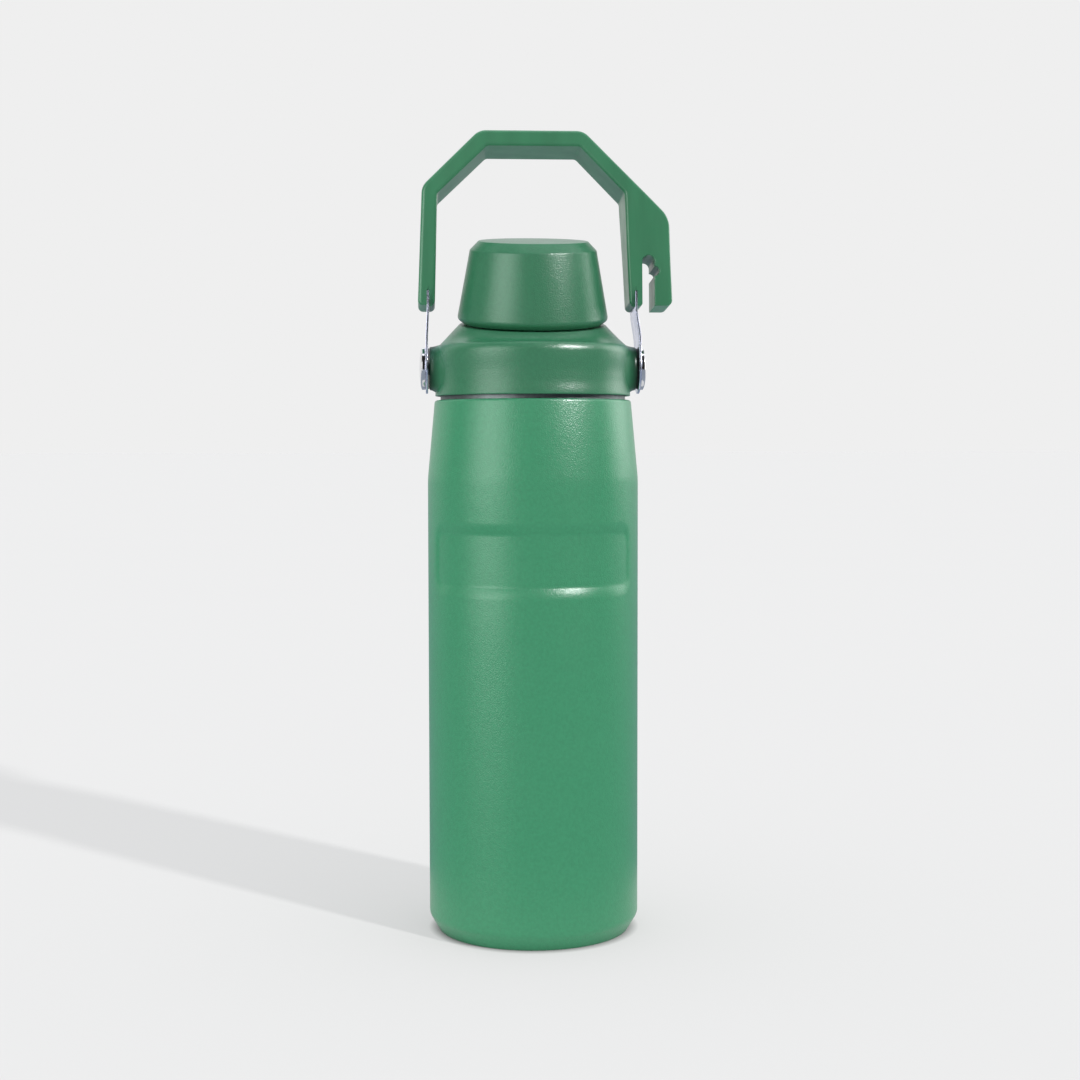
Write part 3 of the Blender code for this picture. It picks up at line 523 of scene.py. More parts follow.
def polished_steel():
    """The rivets' polished heads, with fine handling marks."""
    colour = (0.74, 0.74, 0.76)
    steel = Shader("polished_steel", colour, 0.10, metallic=1.0)
    steel.mottle(steel.noise(400.0, 4.0), *shades(colour, 0.05))
    steel.vary_roughness(steel.noise(900.0, 4.0), 0.06, 0.15)
    steel.bump(steel.noise(500.0, 2.0), 0.05, 0.00004)
    return steel.material


def plug_plastic():
    """Dark food-grade plastic of the plug, the spout and the cap's liner."""
    colour = (0.030, 0.034, 0.036)
    plastic = Shader("plug_plastic", colour, 0.42)
    plastic.mottle(plastic.noise(300.0, 3.0), *shades(colour, 0.12))
    plastic.vary_roughness(plastic.noise(250.0, 3.0), 0.36, 0.48)
    plastic.bump(plastic.noise(1500.0, 2.0), 0.10, 0.0001)
    return plastic.material


def silicone():
    """Milky silicone of the gaskets."""
    colour = (0.62, 0.64, 0.64)
    rubber = Shader("silicone", colour, 0.55)
    rubber.shader.inputs["Subsurface Weight"].default_value = 0.2
    rubber.shader.inputs["Subsurface Scale"].default_value = 0.001
    rubber.mottle(rubber.noise(200.0, 2.0), *shades(colour, 0.05))
    rubber.bump(rubber.noise(1500.0, 2.0), 0.08, 0.0001)
    return rubber.material


def nylon():
    """Black nylon of the pivot washers."""
    colour = (0.012, 0.012, 0.013)
    plastic = Shader("nylon", colour, 0.5)
    plastic.mottle(plastic.noise(600.0, 3.0), *shades(colour, 0.2))
    plastic.bump(plastic.noise(2500.0, 2.0), 0.10, 0.00008)
    return plastic.material


def foam():
    """Closed-cell insulating foam."""
    colour = (0.80, 0.79, 0.74)
    cellular = Shader("foam", colour, 0.9)
    cells = cellular.cells(900.0)
    cellular.mottle(cells, *shades(colour, 0.12), span=(0.0, 0.8))
    cellular.bump(cells, 0.6, 0.0003)
    return cellular.material


def brass():
    """Turned brass of the ears' inserts."""
    colour = (0.70, 0.50, 0.20)
    metal = Shader("brass", colour, 0.28, metallic=1.0)
    metal.mottle(metal.noise(500.0, 3.0, (20.0, 1.0, 1.0)), *shades(colour, 0.10))
    metal.bump(metal.noise(300.0, 3.0, (20.0, 1.0, 1.0)), 0.15, 0.00004)
    return metal.material


def getter_metal():
    """The getter's grey sintered powder."""
    colour = (0.25, 0.25, 0.26)
    metal = Shader("getter_metal", colour, 0.65, metallic=1.0)
    grains = metal.cells(2500.0)
    metal.mottle(grains, *shades(colour, 0.25), span=(0.0, 0.9))
    metal.bump(grains, 0.5, 0.0001)
    return metal.material


def seal_glass():
    """The dark fused bead that closes the vacuum."""
    colour = (0.10, 0.09, 0.08)
    glass = Shader("seal_glass", colour, 0.18)
    glass.mottle(glass.noise(900.0, 3.0), *shades(colour, 0.25))
    glass.bump(glass.noise(500.0, 2.0), 0.2, 0.0001)
    return glass.material


# ---------------------------------------------------------------- bottle
def panel_depth(around, height):
    """Share of the panel's depth at an arc length from its middle and a height. It starts softly outside."""
    half_width = PANEL_HALF_WIDTH * BODY_RADIUS
    across = abs(around) - half_width + PANEL_CORNER
    along = abs(height - PANEL_MIDDLE) - PANEL_HALF_HEIGHT + PANEL_CORNER
    outside = math.hypot(max(across, 0.0), max(along, 0.0)) + min(max(across, along), 0.0) - PANEL_CORNER
    share = min(max(outside / PANEL_SLOPE, 0.0), 1.0)
    return (1.0 - share) ** 1.6


def make_body(material):
    """The painted shell, with its rounded foot, its cone, and the panel pressed into its front."""
    upper = rounded([
        (MOUTH_RADIUS, BODY_TOP_HEIGHT - SHEET, 0.0), (MOUTH_RADIUS, BODY_TOP_HEIGHT, 0.0002),
        (BODY_TOP_RADIUS, BODY_TOP_HEIGHT, 0.0010), (BODY_RADIUS, CONE_START_HEIGHT, 0.0400),
        (BODY_RADIUS, PANEL_MIDDLE, 0.0),
    ], steps=6)[:-1]
    bound = PANEL_HALF_HEIGHT + PANEL_SLOPE
    slope_rows = 9
    floor_rows = 24
    rows = [PANEL_MIDDLE + bound - PANEL_SLOPE * step / slope_rows for step in range(slope_rows)]
    rows += [PANEL_MIDDLE + PANEL_HALF_HEIGHT - 2 * PANEL_HALF_HEIGHT * step / floor_rows
             for step in range(floor_rows + 1)]
    rows += [PANEL_MIDDLE - PANEL_HALF_HEIGHT - PANEL_SLOPE * step / slope_rows
             for step in range(1, slope_rows + 1)]
    rows += [0.105, 0.090, 0.075, 0.060, 0.045, 0.030, 0.018]    # plain rings down to the foot
    lower = rounded([
        (BODY_RADIUS, PANEL_MIDDLE, 0.0), (BODY_RADIUS, FOOT_TURN_HEIGHT, 0.0043), (FOOT_RADIUS, 0.0, 0.0005),
        (FOOT_INNER_RADIUS, 0.0, 0.0002), (FOOT_INNER_RADIUS, SHEET, 0.0),
    ], steps=6)[1:]
    inner_radius = BODY_RADIUS - SHEET
    thick_radius = inner_radius - PANEL_DEPTH
    inside = [(FOOT_RADIUS - SHEET, SHEET), (inner_radius - 0.0004, FOOT_TURN_HEIGHT + 0.0012)]
    inside += [(thick_radius, PANEL_MIDDLE - 2 * bound), (thick_radius, PANEL_MIDDLE + bound)]
    inside += [(inner_radius, CONE_START_HEIGHT), (BODY_TOP_RADIUS - SHEET, BODY_TOP_HEIGHT - SHEET)]
    bm = turned(upper + [(BODY_RADIUS, height) for height in rows] + lower + inside, BODY_SEGMENTS, ring=True)

    push = -PANEL_DEPTH * Vector((math.cos(PANEL_TURN), math.sin(PANEL_TURN), 0.0))
    for vertex in bm.verts:
        if math.hypot(vertex.co.x, vertex.co.y) > BODY_RADIUS - SHEET / 2:
            turn = math.remainder(math.atan2(vertex.co.y, vertex.co.x) - PANEL_TURN, math.tau)
            vertex.co += push * panel_depth(turn * BODY_RADIUS, vertex.co.z)
    add_piece("body_shell", bm, material, "bottle", ["outer_shell"])


def make_vessel(material):
    """The steel vessel and its neck, whose rim shows under the lid, with the thread inside its mouth."""
    inner_neck = NECK_RADIUS - NECK_WALL
    inner_radius = VESSEL_RADIUS - VESSEL_WALL
    floor = VESSEL_BOTTOM_HEIGHT + VESSEL_WALL
    profile = rounded([
        (0.0, floor, 0.0), (inner_radius, floor, 0.0074), (inner_radius, VESSEL_SHOULDER_HEIGHT, 0.0200),
        (inner_neck, NECK_START_HEIGHT, 0.0100), (inner_neck, NECK_TOP_HEIGHT, 0.0004),
        (NECK_RADIUS, NECK_TOP_HEIGHT, 0.0004), (NECK_RADIUS, NECK_START_HEIGHT, 0.0100),
        (VESSEL_RADIUS, VESSEL_SHOULDER_HEIGHT, 0.0200), (VESSEL_RADIUS, VESSEL_BOTTOM_HEIGHT, 0.0080),
        (0.0, VESSEL_BOTTOM_HEIGHT, 0.0),
    ])
    bm = turned(profile)
    add_rib(bm, inner_neck, inner_neck - LID_RIB_DEPTH, NECK_RIB_HEIGHT)
    add_piece("steel_vessel", bm, material, "bottle", ["inner_vessel"])


def make_base(material):
    """The cover plate in the foot, with a shallow ring turned in it, and the welded bottom plate above it."""
    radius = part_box("base_cover")[1].x
    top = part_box("base_cover")[1].z
    ring_outer = 0.86 * radius
    ring_inner = 0.48 * radius
    ring_slope = 0.02 * radius
    ring_depth = 0.00022
    profile = rounded([(0.0, top, 0.0), (radius, top, 0.0002), (radius, 0.0, 0.0003), (ring_outer, 0.0, 0.0)],
                      steps=4)
    profile += [(ring_outer - ring_slope, ring_depth), (ring_inner + ring_slope, ring_depth)]
    profile += [(ring_inner, 0.0), (0.0, 0.0)]
    add_piece("foot_plate", turned(profile), material, "bottle", ["base_cover"])

    low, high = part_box("outer_bottom")
    wall = 0.0006
    dish_radius = 0.0210
    slope_radius = 0.0250
    hole_radius = 0.0015
    profile = rounded([
        (hole_radius, high.z, 0.0), (dish_radius, high.z, 0.0030), (slope_radius, low.z + wall, 0.0030),
        (high.x, low.z + wall, 0.0), (high.x, low.z, 0.0), (slope_radius, low.z, 0.0030),
        (dish_radius, high.z - wall, 0.0030), (hole_radius, high.z - wall, 0.0),
    ])
    bm = turned(profile, ring=True)
    add_piece("bottom_plate", bm, material, "bottle", ["outer_bottom"])


# ---------------------------------------------------------------- lid
def lean_collar(bm):
    """Lean the level rings above the shoulder more and more, up to the deck's full lean."""
    tilt = Matrix.Rotation(CAP_LEAN, 3, "X")
    lowest = COLLAR_SHOULDER_HEIGHT + COLLAR_SHOULDER_ROUNDING * math.sin(math.radians(45.0))
    for vertex in bm.verts:
        if vertex.co.z > lowest:
            share = min((vertex.co.z - lowest) / (DECK.z - COLLAR_DECK - lowest), 1.0)
            leaning = DECK + tilt @ (vertex.co - DECK)
            vertex.co = vertex.co.lerp(leaning, share)


def band_waist(z):
    """How far the band's wall is drawn in at a height."""
    share = (z - COLLAR_BOTTOM_HEIGHT) / (COLLAR_SHOULDER_HEIGHT - COLLAR_BOTTOM_HEIGHT)
    return WAIST_DEPTH * smooth_step(share, 0.0, 0.35) * (1.0 - smooth_step(share, 0.5, 1.0))


def band_reach(y, z):
    """How far out in X the collar's outer wall is, beside an ear."""
    rise = max(z - COLLAR_SHOULDER_HEIGHT, 0.0)
    rounding = COLLAR_SHOULDER_ROUNDING
    arc_end = rounding * math.sin(math.radians(45.0))
    if rise <= arc_end:
        radius = COLLAR_RADIUS - rounding + math.sqrt(rounding ** 2 - rise ** 2) - band_waist(z)
    else:
        radius = COLLAR_RADIUS - rounding + arc_end - (rise - arc_end)
    return math.sqrt(radius ** 2 - y ** 2)


def make_ear(side, name, material):
    """One of the lid's ears: a round boss with a flat face, flaring out sideways into the band."""
    segments = 96
    steps = 12
    edge = 0.0003
    buried = 0.0010
    turns = [math.tau * index / segments for index in range(segments)]
    rings = [[(reach, radius * math.cos(turn), radius * math.sin(turn)) for turn in turns]
             for radius, reach in ((EAR_RADIUS - edge, EAR_FACE), (EAR_RADIUS, EAR_FACE - edge))]
    for step in range(steps + 1):
        share = step / steps
        width, height = [EAR_RADIUS + (flare - EAR_RADIUS) * share ** 1.25 for flare in EAR_FLARE]
        rings.append([])
        for turn in turns:
            foot = band_reach(EAR_FLARE[0] * math.cos(turn), PIVOT.z + EAR_FLARE[1] * math.sin(turn))
            reach = EAR_FLARE_START + (foot - PLAY - EAR_FLARE_START) * share ** 0.85
            rings[-1].append((reach, width * math.cos(turn), height * math.sin(turn)))
    rings.append([(reach - buried, y, z) for reach, y, z in rings[-1]])
    bm = lofted([[(side * reach, y, PIVOT.z + z) for reach, y, z in ring] for ring in rings])
    add_piece("lid_ear_" + name, bm, material, "lid")


def make_collar(material, ear_material):
    """The lid's cover: the band, the rounded shoulder, and the cone up to the leaning deck."""
    rounding = COLLAR_SHOULDER_ROUNDING
    inner_rounding = rounding - COLLAR_WALL
    rounding_centre = (COLLAR_RADIUS - rounding, COLLAR_SHOULDER_HEIGHT)
    shoulder = arc(rounding_centre, (rounding, rounding), 45.0, 0.0, 8)
    deck_edge = rounded([(DECK_HOLE_RADIUS, DECK.z, 0.0), (COLLAR_TOP_RADIUS, DECK.z, 0.0006),
                         (*shoulder[0], 0.0)], steps=4)[:-1]
    cone = [tuple(Vector(deck_edge[-1]).lerp(Vector(shoulder[0]), share)) for share in (0.2, 0.4, 0.6, 0.8)]
    rows = 24
    heights = [COLLAR_SHOULDER_HEIGHT + (COLLAR_BOTTOM_HEIGHT - COLLAR_SHOULDER_HEIGHT) * step / rows
               for step in range(1, rows)]
    band = [(COLLAR_RADIUS - band_waist(height), height) for height in heights]
    band += rounded([
        (*band[-1], 0.0), (COLLAR_RADIUS, COLLAR_BOTTOM_HEIGHT, 0.0003),
        (SKIRT_INNER_RADIUS, COLLAR_BOTTOM_HEIGHT, 0.0002), (SKIRT_INNER_RADIUS, SKIRT_TOP_HEIGHT, 0.0),
    ], steps=4)[1:]
    ceiling = DECK.z - COLLAR_DECK
    ceiling_radius = 0.0249
    inside = [(COLLAR_RADIUS - COLLAR_WALL, SKIRT_TOP_HEIGHT)]
    inside += arc(rounding_centre, (inner_rounding, inner_rounding), 0.0, 45.0, 4)
    inside += [(ceiling_radius, ceiling), (DECK_HOLE_RADIUS, ceiling)]
    bm = turned(deck_edge + cone + shoulder + band + inside, ring=True)
    lean_collar(bm)
    add_piece("lid_cover", bm, material, "lid", ["lid_collar"])
    for side, name in SIDES:
        make_ear(side, name, ear_material)


def make_plug(material):
    """The plug with its thread and flange, and the leaning spout with the cap's thread."""
    low, high = FLANGE_HEIGHTS
    inner_radius = PLUG_RADIUS - PLUG_WALL
    floor = PLUG_BOTTOM_HEIGHT + PLUG_WALL
    bore_radius = SPOUT_RADIUS - 0.0010
    profile = rounded([
        (bore_radius, floor, 0.0), (inner_radius, floor, 0.0006), (inner_radius, high, 0.0),
        (FLANGE_RADIUS, high, 0.0003), (FLANGE_RADIUS, low, 0.0003), (PLUG_RADIUS, low, 0.0),
        (PLUG_RADIUS, PLUG_BOTTOM_HEIGHT, 0.0008), (bore_radius, PLUG_BOTTOM_HEIGHT, 0.0),
    ], steps=4)
    bm = turned(profile, ring=True)
    add_rib(bm, PLUG_RADIUS, PLUG_RADIUS + LID_RIB_DEPTH, NECK_RIB_HEIGHT - LEAD / 2)
    shift = (DECK.z - (PLUG_BOTTOM_HEIGHT + floor) / 2) * math.tan(CAP_LEAN)
    for vertex in bm.verts:
        if math.hypot(vertex.co.x, vertex.co.y) < bore_radius + GAP:
            vertex.co.y += shift
    add_piece("plug_body", bm, material, "lid", ["lid_plug"])

    root = -(DECK.z - PLUG_BOTTOM_HEIGHT) / math.cos(CAP_LEAN)
    profile = rounded([
        (SPOUT_BORE_RADIUS, SPOUT_HEIGHT, 0.0006), (SPOUT_RADIUS, SPOUT_HEIGHT, 0.0008),
        (SPOUT_RADIUS, root, 0.0), (SPOUT_BORE_RADIUS, root, 0.0),
    ], steps=4, closed=True)
    bm = turned(profile, ring=True)
    for vertex in bm.verts:
        if vertex.co.z < root / 2:
            vertex.co.z += vertex.co.y * math.tan(CAP_LEAN)
    add_rib(bm, SPOUT_RADIUS, SPOUT_RADIUS + CAP_RIB_DEPTH, SPOUT_RIB_HEIGHT)
    add_piece("pouring_spout", bm, material, "lid", place=CAP_FRAME)


def make_rivets(material):
    """The polished domed rivets that the straps turn on."""
    seat = STRAP_OUTER_FACE + PLAY
    rim = RIVET_HEAD_TOP - RIVET_HEAD_DOME
    for side, name in SIDES:
        profile = [(0.0, RIVET_HEAD_TOP)]
        profile += arc((0.0, rim), (RIVET_HEAD_RADIUS - 0.0002, RIVET_HEAD_DOME), 86.0, 14.0, 16)
        profile += rounded([(RIVET_HEAD_RADIUS - 0.0003, rim + 0.0002, 0.0), (RIVET_HEAD_RADIUS, rim, 0.0002),
                            (RIVET_HEAD_RADIUS, seat, 0.0003), (SHANK_RADIUS, seat, 0.0)])
        profile += [(SHANK_RADIUS, SHANK_END), (0.0, SHANK_END)]
        place = Matrix.Translation((0.0, 0.0, PIVOT.z)) @ Matrix.Rotation(side * math.pi / 2, 4, "Y")
        add_piece("rivet_" + name, turned(profile, 96), material, "lid",
                  ["pivot_rivet_" + name], place)


def make_washers(material):
    """The nylon washers between the ears and the straps, with rounded rims."""
    low = EAR_FACE + PLAY
    high = EAR_FACE + WASHER_THICKNESS
    hole_radius = SHANK_RADIUS + GAP
    for side, name in SIDES:
        profile = rounded([
            (hole_radius, high, 0.0001), (WASHER_RADIUS, high, 0.0001), (WASHER_RADIUS, low, 0.0001),
            (hole_radius, low, 0.0001),
        ], steps=3, closed=True)
        place = Matrix.Translation((0.0, 0.0, PIVOT.z)) @ Matrix.Rotation(side * math.pi / 2, 4, "Y")
        add_piece("washer_" + name, turned(profile, 96, ring=True), material, "lid",
                  ["pivot_washer_" + name], place)


# ---------------------------------------------------------------- cap
def make_cap(cover_material, liner_material):
    """The cap's cover with its chamfered crown, and the threaded liner inside it."""
    ceiling = CAP_TOP[1] - CAP_WALL
    inner_shift = 0.0009              # from the wall's outer corners to its inner ones, along its slopes
    profile = rounded([
        (0.0, CAP_TOP[1], 0.0), (*CAP_TOP, 0.0006), (*CAP_SHOULDER, 0.0010), (*CAP_WIDEST, 0.0018),
        (CAP_FOOT_RADIUS, CAP_BOTTOM, 0.0005), (CAP_LIP_RADIUS, CAP_BOTTOM, 0.0002),
        (CAP_LIP_RADIUS, CAP_BOTTOM + 0.0012, 0.0),
        (CAP_WIDEST[0] - CAP_WALL, CAP_WIDEST[1] + inner_shift, 0.0),
        (CAP_SHOULDER[0] - CAP_WALL, CAP_SHOULDER[1] - inner_shift, 0.0),
        (CAP_TOP[0] - inner_shift, ceiling, 0.0),
        (0.0, ceiling, 0.0),
    ], steps=6)
    add_piece("cap_cover", turned(profile), cover_material, "cap", ["cap_shell"], CAP_FRAME)

    foot = CAP_BOTTOM + GAP
    flange_top = foot + 0.0012
    top = LINER_CEILING + CAP_WALL
    profile = rounded([
        (0.0, top, 0.0), (LINER_RADIUS, top, 0.0008), (LINER_RADIUS, flange_top, 0.0),
        (CAP_LIP_RADIUS - GAP, flange_top, 0.0), (CAP_LIP_RADIUS - GAP, foot, 0.0002),
        (LINER_INNER_RADIUS, foot, 0.0004), (LINER_INNER_RADIUS, LINER_CEILING, 0.0),
        (0.0, LINER_CEILING, 0.0),
    ], steps=4)
    bm = turned(profile)
    add_rib(bm, LINER_INNER_RADIUS, LINER_INNER_RADIUS - CAP_RIB_DEPTH, SPOUT_RIB_HEIGHT - LEAD / 2)
    add_piece("cap_inside", bm, liner_material, "cap", ["cap_liner"], CAP_FRAME)


# ---------------------------------------------------------------- handle
def make_straps(material):
    """The steel straps, bent inwards between the eyelet and the grip."""
    foot_angle = math.degrees(math.acos(STRAP_HALF_WIDTH / EYELET_RADIUS))
    shoulder_fall = 0.0010
    edge_radius = 0.00018
    cuts = 12
    for side, name in SIDES:
        outline = arc((0.0, 0.0), (EYELET_RADIUS, EYELET_RADIUS), 180.0 - foot_angle, 360.0 + foot_angle, 48)
        outline += [(STRAP_HALF_WIDTH, STRAP_SHOULDER - shoulder_fall), (TANG_HALF_WIDTH, STRAP_SHOULDER)]
        outline += [(TANG_HALF_WIDTH, TANG_END), (-TANG_HALF_WIDTH, TANG_END)]
        outline += [(-TANG_HALF_WIDTH, STRAP_SHOULDER), (-STRAP_HALF_WIDTH, STRAP_SHOULDER - shoulder_fall)]
        bm = plate(outline, -STRAP_THICKNESS / 2, STRAP_THICKNESS / 2)
        for step in range(cuts + 1):
            slice_level(bm, STRAP_JOG_SPAN[0] + (STRAP_JOG_SPAN[1] - STRAP_JOG_SPAN[0]) * step / cuts)
        edges = [edge for edge in bm.edges if edge.is_manifold and edge.calc_face_angle() > math.radians(80.0)
                 and abs(edge.verts[0].co.y - edge.verts[1].co.y) < GAP]
        bmesh.ops.bevel(bm, geom=edges, offset=edge_radius, segments=3, profile=0.5, affect="EDGES")
        for vertex in bm.verts:
            jog = STRAP_JOG[name] * smooth_step(vertex.co.z, *STRAP_JOG_SPAN)
            reach = STRAP_OUTER_FACE - STRAP_THICKNESS / 2 - jog + vertex.co.y
            vertex.co = Vector((side * reach, vertex.co.x, vertex.co.z))
        add_piece("steel_strap_" + name, bm, material, "handle", ["strap_" + name],
                  HANDLE_FRAME)


def grip_outline(share):
    """The grip's outline seen from the front, with every side moved in by a share of its own rounding."""
    sides = []
    for index, (x, z, _, rounding) in enumerate(GRIP_CORNERS):
        after = GRIP_CORNERS[(index + 1) % len(GRIP_CORNERS)]
        along = (Vector(after[:2]) - Vector((x, z))).normalized()
        inset = share * rounding
        sides.append((Vector((x, z)) + inset * Vector((along.y, -along.x)), along, inset))
    corners = []
    for index, (start, along, inset) in enumerate(sides):
        start_before, before, inset_before = sides[index - 1]
        turn = before.cross(along)
        corner = start_before + before * ((start - start_before).cross(along) / turn)
        radius = GRIP_CORNERS[index][2] + math.copysign((inset + inset_before) / 2, turn)
        corners.append((*corner, radius))
    return rounded(corners, steps=7, closed=True)


def grip_depth(z):
    """Half the grip's depth at a height above the pivot: shallow at the legs, deep along the top."""
    return LEG_HALF_DEPTH + (BOW_HALF_DEPTH - LEG_HALF_DEPTH) * smooth_step(z, *GRIP_TAPER_SPAN)


def hook_outline(spread):
    """The cord hook's channel seen from the front, widened all round, from its right foot to its left."""
    low = LEG_END - CUTTER_MARGIN
    left, right = HOOK_CHANNEL[0] - spread, HOOK_CHANNEL[1] + spread
    end_radius = (right - left) / 2
    lobe_radius = HOOK_LOBE_RADIUS + spread
    lobe_end = math.degrees(math.acos((right - HOOK_CHANNEL[1]) / lobe_radius))
    mouth = HOOK_MOUTH_ROUNDING
    points = [(right, low)]
    points += arc((HOOK_CHANNEL[1], HOOK_LOBE_HEIGHT), (lobe_radius, lobe_radius), -lobe_end, lobe_end, 14)
    points += arc(((left + right) / 2, HOOK_END_HEIGHT), (end_radius, end_radius), 0.0, 180.0, 16)
    points += arc((left - mouth, LEG_END + mouth - PLAY), (mouth, mouth), 0.0, -90.0, 6)
    return points + [(left - mouth, low)]


def hook_cutter():
    """A cutter for the cord hook's channel, which widens in a rounding at the front and the back."""
    steps = 4
    sections = [(-CUTTER_MARGIN, HOOK_ROUNDING)]
    for step in range(steps + 1):
        depth = HOOK_ROUNDING * step / steps
        spread = HOOK_ROUNDING - math.sqrt(HOOK_ROUNDING ** 2 - (HOOK_ROUNDING - depth) ** 2)
        sections.append((depth, spread))
    rings = []
    for side in (-1, 1):
        face = [[(x, side * (grip_depth(z) - depth), z) for x, z in hook_outline(spread)]
                for depth, spread in sections]
        rings += face if side < 0 else reversed(face)
    return lofted(rings)


def slot_cutter(side, middle):
    """A cutter for the slot that a strap's end lies in."""
    half_width = STRAP_THICKNESS / 2 + PLAY
    low = LEG_END - CUTTER_MARGIN
    outline = [(side * (middle + half_width), low)]
    outline += arc((side * middle, SLOT_TOP), (side * half_width, half_width), 0.0, 180.0, 8)
    outline += [(side * (middle - half_width), low)]
    return plate(outline, -LEG_HALF_DEPTH - CUTTER_MARGIN, LEG_HALF_DEPTH + CUTTER_MARGIN)


def ramp_cutter(side, middle):
    """A cutter for the ramp that runs back on a strap's inner side, down to the leg's end."""
    steps = 10
    front = -LEG_HALF_DEPTH
    low = LEG_END - CUTTER_MARGIN
    section = []
    for step in range(steps + 1):
        height = RAMP_TOP + (LEG_END - RAMP_TOP) * step / steps
        section.append((front - PLAY + RAMP_DEPTH * (step / steps) ** 1.2, height))
    section += [(section[-1][0], low), (front - CUTTER_MARGIN, low), (front - CUTTER_MARGIN, RAMP_TOP)]
    return lofted([[(side * reach, y, z) for y, z in section] for reach in (middle, middle - RAMP_WIDTH)])


def make_grip(material):
    """The moulded bow with its hook: rounded edges, and deeper along the top than at the legs."""
    steps = 5
    edge = []
    for step in range(steps + 1):
        angle = math.pi / 2 * step / steps
        edge.append((BOW_HALF_DEPTH - GRIP_ROUNDING_DEPTH * (1.0 - math.cos(angle)), 1.0 - math.sin(angle)))
    rings = [[(x, -y, z) for x, z in grip_outline(share)] for y, share in edge]
    rings += [[(x, y, z) for x, z in grip_outline(share)] for y, share in reversed(edge)]
    bm = lofted(rings)
    low, high = GRIP_TAPER_SPAN
    cuts = 10
    for step in range(cuts + 1):
        slice_level(bm, low + (high - low) * step / cuts)
    for vertex in bm.verts:
        vertex.co.y *= grip_depth(vertex.co.z) / BOW_HALF_DEPTH

    bm = cut(bm, hook_cutter())
    for side, name in SIDES:
        middle = STRAP_OUTER_FACE - STRAP_THICKNESS / 2 - STRAP_JOG[name]
        bm = cut(bm, ramp_cutter(side, middle))
        bm = cut(bm, slot_cutter(side, middle))
    bmesh.ops.dissolve_degenerate(bm, dist=0.000002, edges=bm.edges)
    grip = add_piece("grip", bm, material, "handle", ["handle_grip"], HANDLE_FRAME)
    grip.modifiers.new("even_shading", "WEIGHTED_NORMAL").keep_sharp = True
    return grip


# ---------------------------------------------------------------- studio
def make_floor():
    """A plain pale floor, as bright as the backdrop behind it, with a painted contact shadow round the foot
    where its glow fades out.
    """
    bm = bmesh.new()
    bmesh.ops.create_grid(bm, x_segments=4, y_segments=4, size=30.0)
    floor = link_mesh("floor", bm)
    surface = Shader("floor", FLOOR_COLOUR, 0.8, specular=0.0)
    surface.shader.inputs["Emission Color"].default_value = (1.0, 1.0, 1.0, 1.0)
    distance = surface.tree.nodes.new("ShaderNodeVectorMath")
    distance.operation = "LENGTH"
    surface.tree.links.new(surface.coordinates, distance.inputs[0])
    # painted contact shadow: the glow fades to nothing round the foot, which darkens the floor there
    glow = surface.spread(distance.outputs["Value"], *PAINTED_SHADOW_SPAN, 0.0, FLOOR_GLOW)
    surface.tree.links.new(glow, surface.shader.inputs["Emission Strength"])
    surface.mottle(surface.noise(3.0, 2.0), *shades(FLOOR_COLOUR, 0.002))
    floor.data.materials.append(surface.material)
    return floor


def add_light(data, bearing, elevation, distance=1.0):
    """Add a light that points at the flask, at a bearing from the front towards +X and an elevation."""
    light = bpy.data.objects.new(data.name, data)
    bearing, elevation = math.radians(bearing), math.radians(elevation)
    level = distance * math.cos(elevation)
    offset = Vector((level * math.sin(bearing), -level * math.cos(bearing), distance * math.sin(elevation)))
    light.location = AIM + offset
    light.rotation_euler = offset.to_track_quat("Z", "Y").to_euler()
    bpy.context.scene.collection.objects.link(light)
    return light


def add_box_light(name, power, size, bearing, elevation, distance=1.0):
    """Add a soft box that shows only as a highlight."""
    data = bpy.data.lights.new(name, "AREA")
    data.energy = power
    data.shape = "RECTANGLE"
    data.size, data.size_y = size
    light = add_light(data, bearing, elevation, distance)
    light.visible_camera = False
    light.visible_diffuse = False
    return light


def make_curtain(name, section, start, end, colour):
    """A turned sheet between two bearings, seen only in reflections. Its section is (reach, height)."""
    steps = 32
    bearings = [math.radians(start + (end - start) * step / steps) for step in range(steps + 1)]
    bm = bmesh.new()
    rows = [[bm.verts.new((reach * math.sin(bearing), -reach * math.cos(bearing), height))
             for bearing in bearings] for reach, height in section]
    for lower, upper in zip(rows, rows[1:]):
        for index in range(steps):
            bm.faces.new((lower[index], lower[index + 1], upper[index + 1], upper[index]))
    curtain = link_mesh(name, bm)
    cloth = Shader(name, colour, 0.9, specular=0.0)
    cloth.mottle(cloth.noise(4.0), *shades(colour, 0.05))
    curtain.data.materials.append(cloth.material)
    curtain.visible_camera = False
    curtain.visible_diffuse = False
    curtain.visible_transmission = False
    curtain.visible_shadow = False


def make_sky():
    """White surroundings, brighter overhead."""
    world = bpy.data.worlds.new("studio")
    world.use_nodes = True
    tree = world.node_tree
    sky = tree.nodes.new("ShaderNodeValToRGB")
    direction = tree.nodes.new("ShaderNodeTexCoord").outputs["Generated"]
    split = tree.nodes.new("ShaderNodeSeparateXYZ")
    sky.color_ramp.elements[0].position = 0.25
    sky.color_ramp.elements[0].color = (*BACKDROP, 1.0)
    sky.color_ramp.elements[1].color = (*OVERHEAD, 1.0)
    tree.links.new(direction, split.inputs["Vector"])
    tree.links.new(split.outputs["Z"], sky.inputs["Fac"])
    tree.links.new(sky.outputs["Color"], tree.nodes["Background"].inputs["Color"])
    bpy.context.scene.world = world


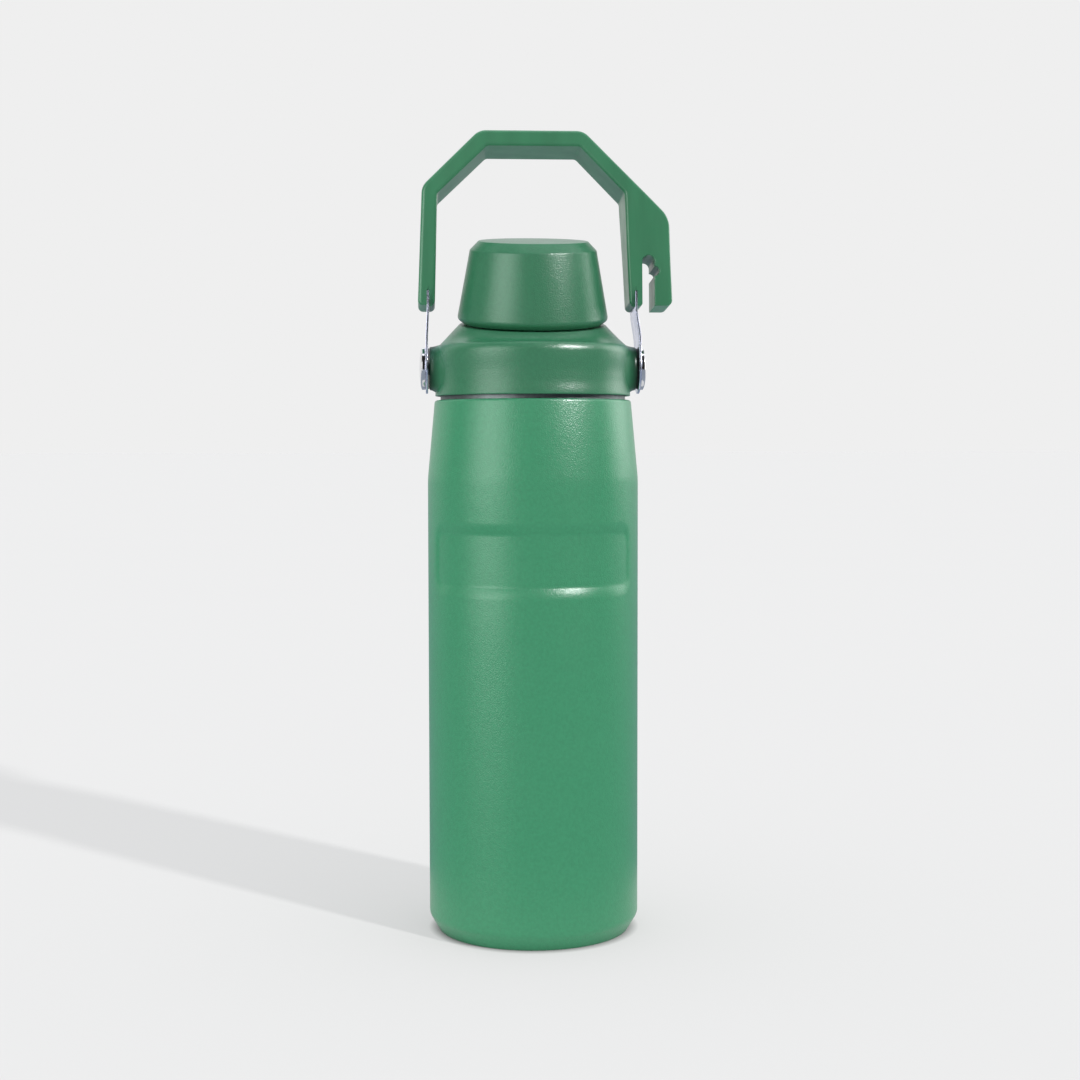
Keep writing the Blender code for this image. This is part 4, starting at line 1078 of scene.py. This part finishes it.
def make_studio():
    """The floor, a sun that throws the shadow on it, the soft boxes, and two sheets. Returns the key box.

    The sheets, a dark curtain in front and a grey carpet, keep the colours deep and the steel crisp.
    """
    make_sky()
    floor = make_floor()
    sun = bpy.data.lights.new("sun", "SUN")
    sun.energy = 3.2
    sun.angle = math.radians(3.0)
    only_floor = bpy.data.collections.new("lit_by_sun")
    only_floor.objects.link(floor)
    add_light(sun, 44.5, 27.0).light_linking.receiver_collection = only_floor
    key_box = add_box_light("key_box", 7.2, (0.09, 0.10), 47.0, 37.6, 0.635)
    add_box_light("left_box", 6.2, (0.68, 0.70), -52.0, 14.0)
    add_box_light("right_box", 3.3, (0.50, 0.60), 112.0, 20.0)
    dome = arc((0.0, 0.0), (CURTAIN_RADIUS, CURTAIN_RADIUS), 0.0, 75.0, 6)
    make_curtain("dark_curtain", dome, -112.0, 92.0, (0.02, 0.02, 0.02))
    ground = [(radius, CARPET_HEIGHT) for radius in CARPET_RADII]
    make_curtain("grey_carpet", ground, -180.0, 180.0, (0.26, 0.29, 0.33))
    return key_box


def shield(obj, light):
    """Keep a light off a piece whose roundings are so narrow that it would show as a hard line on them."""
    collection = bpy.data.collections.new("shielded")
    collection.objects.link(obj)
    collection.collection_objects[0].light_linking.link_state = "EXCLUDE"
    light.light_linking.receiver_collection = collection


def make_camera():
    """The camera: in front, a little to the left of the middle, and turned slightly down."""
    bearing = math.radians(-3.6)
    pitch = math.radians(3.11)
    roll = math.radians(-0.09)
    distance = 0.653
    sideways = 0.00254
    height = 0.177
    right = Vector((math.cos(bearing), math.sin(bearing), 0.0))
    back = Vector((math.sin(bearing), -math.cos(bearing), 0.0))
    data = bpy.data.cameras.new("camera")
    data.lens = 60.0
    data.sensor_width = 36.0
    camera = bpy.data.objects.new("camera", data)
    place = Matrix.Translation(back * distance + right * sideways + Vector((0.0, 0.0, height)))
    turn = Matrix.Rotation(bearing, 4, "Z") @ Matrix.Rotation(math.pi / 2 - pitch, 4, "X")
    camera.matrix_world = place @ turn @ Matrix.Rotation(roll, 4, "Z")
    bpy.context.scene.collection.objects.link(camera)
    bpy.context.scene.camera = camera
    bpy.context.scene.view_settings.view_transform = "Standard"


# ---------------------------------------------------------------- assembly
def finish_cad_nodes(materials):
    """Give the CAD nodes that stay their finished materials."""
    for node, material in materials.items():
        mesh = frame["nodes"][node].data
        mesh.materials.clear()
        mesh.materials.append(material)


make_camera()
key_box = make_studio()

steel = brushed_steel()
plug = plug_plastic()
lid = satin_plastic()
rubber = silicone()
insert = brass()
filling = foam()
make_body(powder_coat())
make_vessel(rough_steel_painted_shade())
make_base(steel)
make_collar(lid, ear_plastic())
make_plug(plug)
make_rivets(polished_steel())
make_washers(nylon())
make_cap(lid, plug)
make_straps(strap_steel())
shield(make_grip(grip_plastic()), key_box)
finish_cad_nodes({
    "vacuum_seal": seal_glass(), "getter": getter_metal(), "lid_gasket": rubber, "cap_gasket": rubber,
    "lid_foam": filling, "cap_foam": filling, "pivot_insert_left": insert, "pivot_insert_right": insert,
})
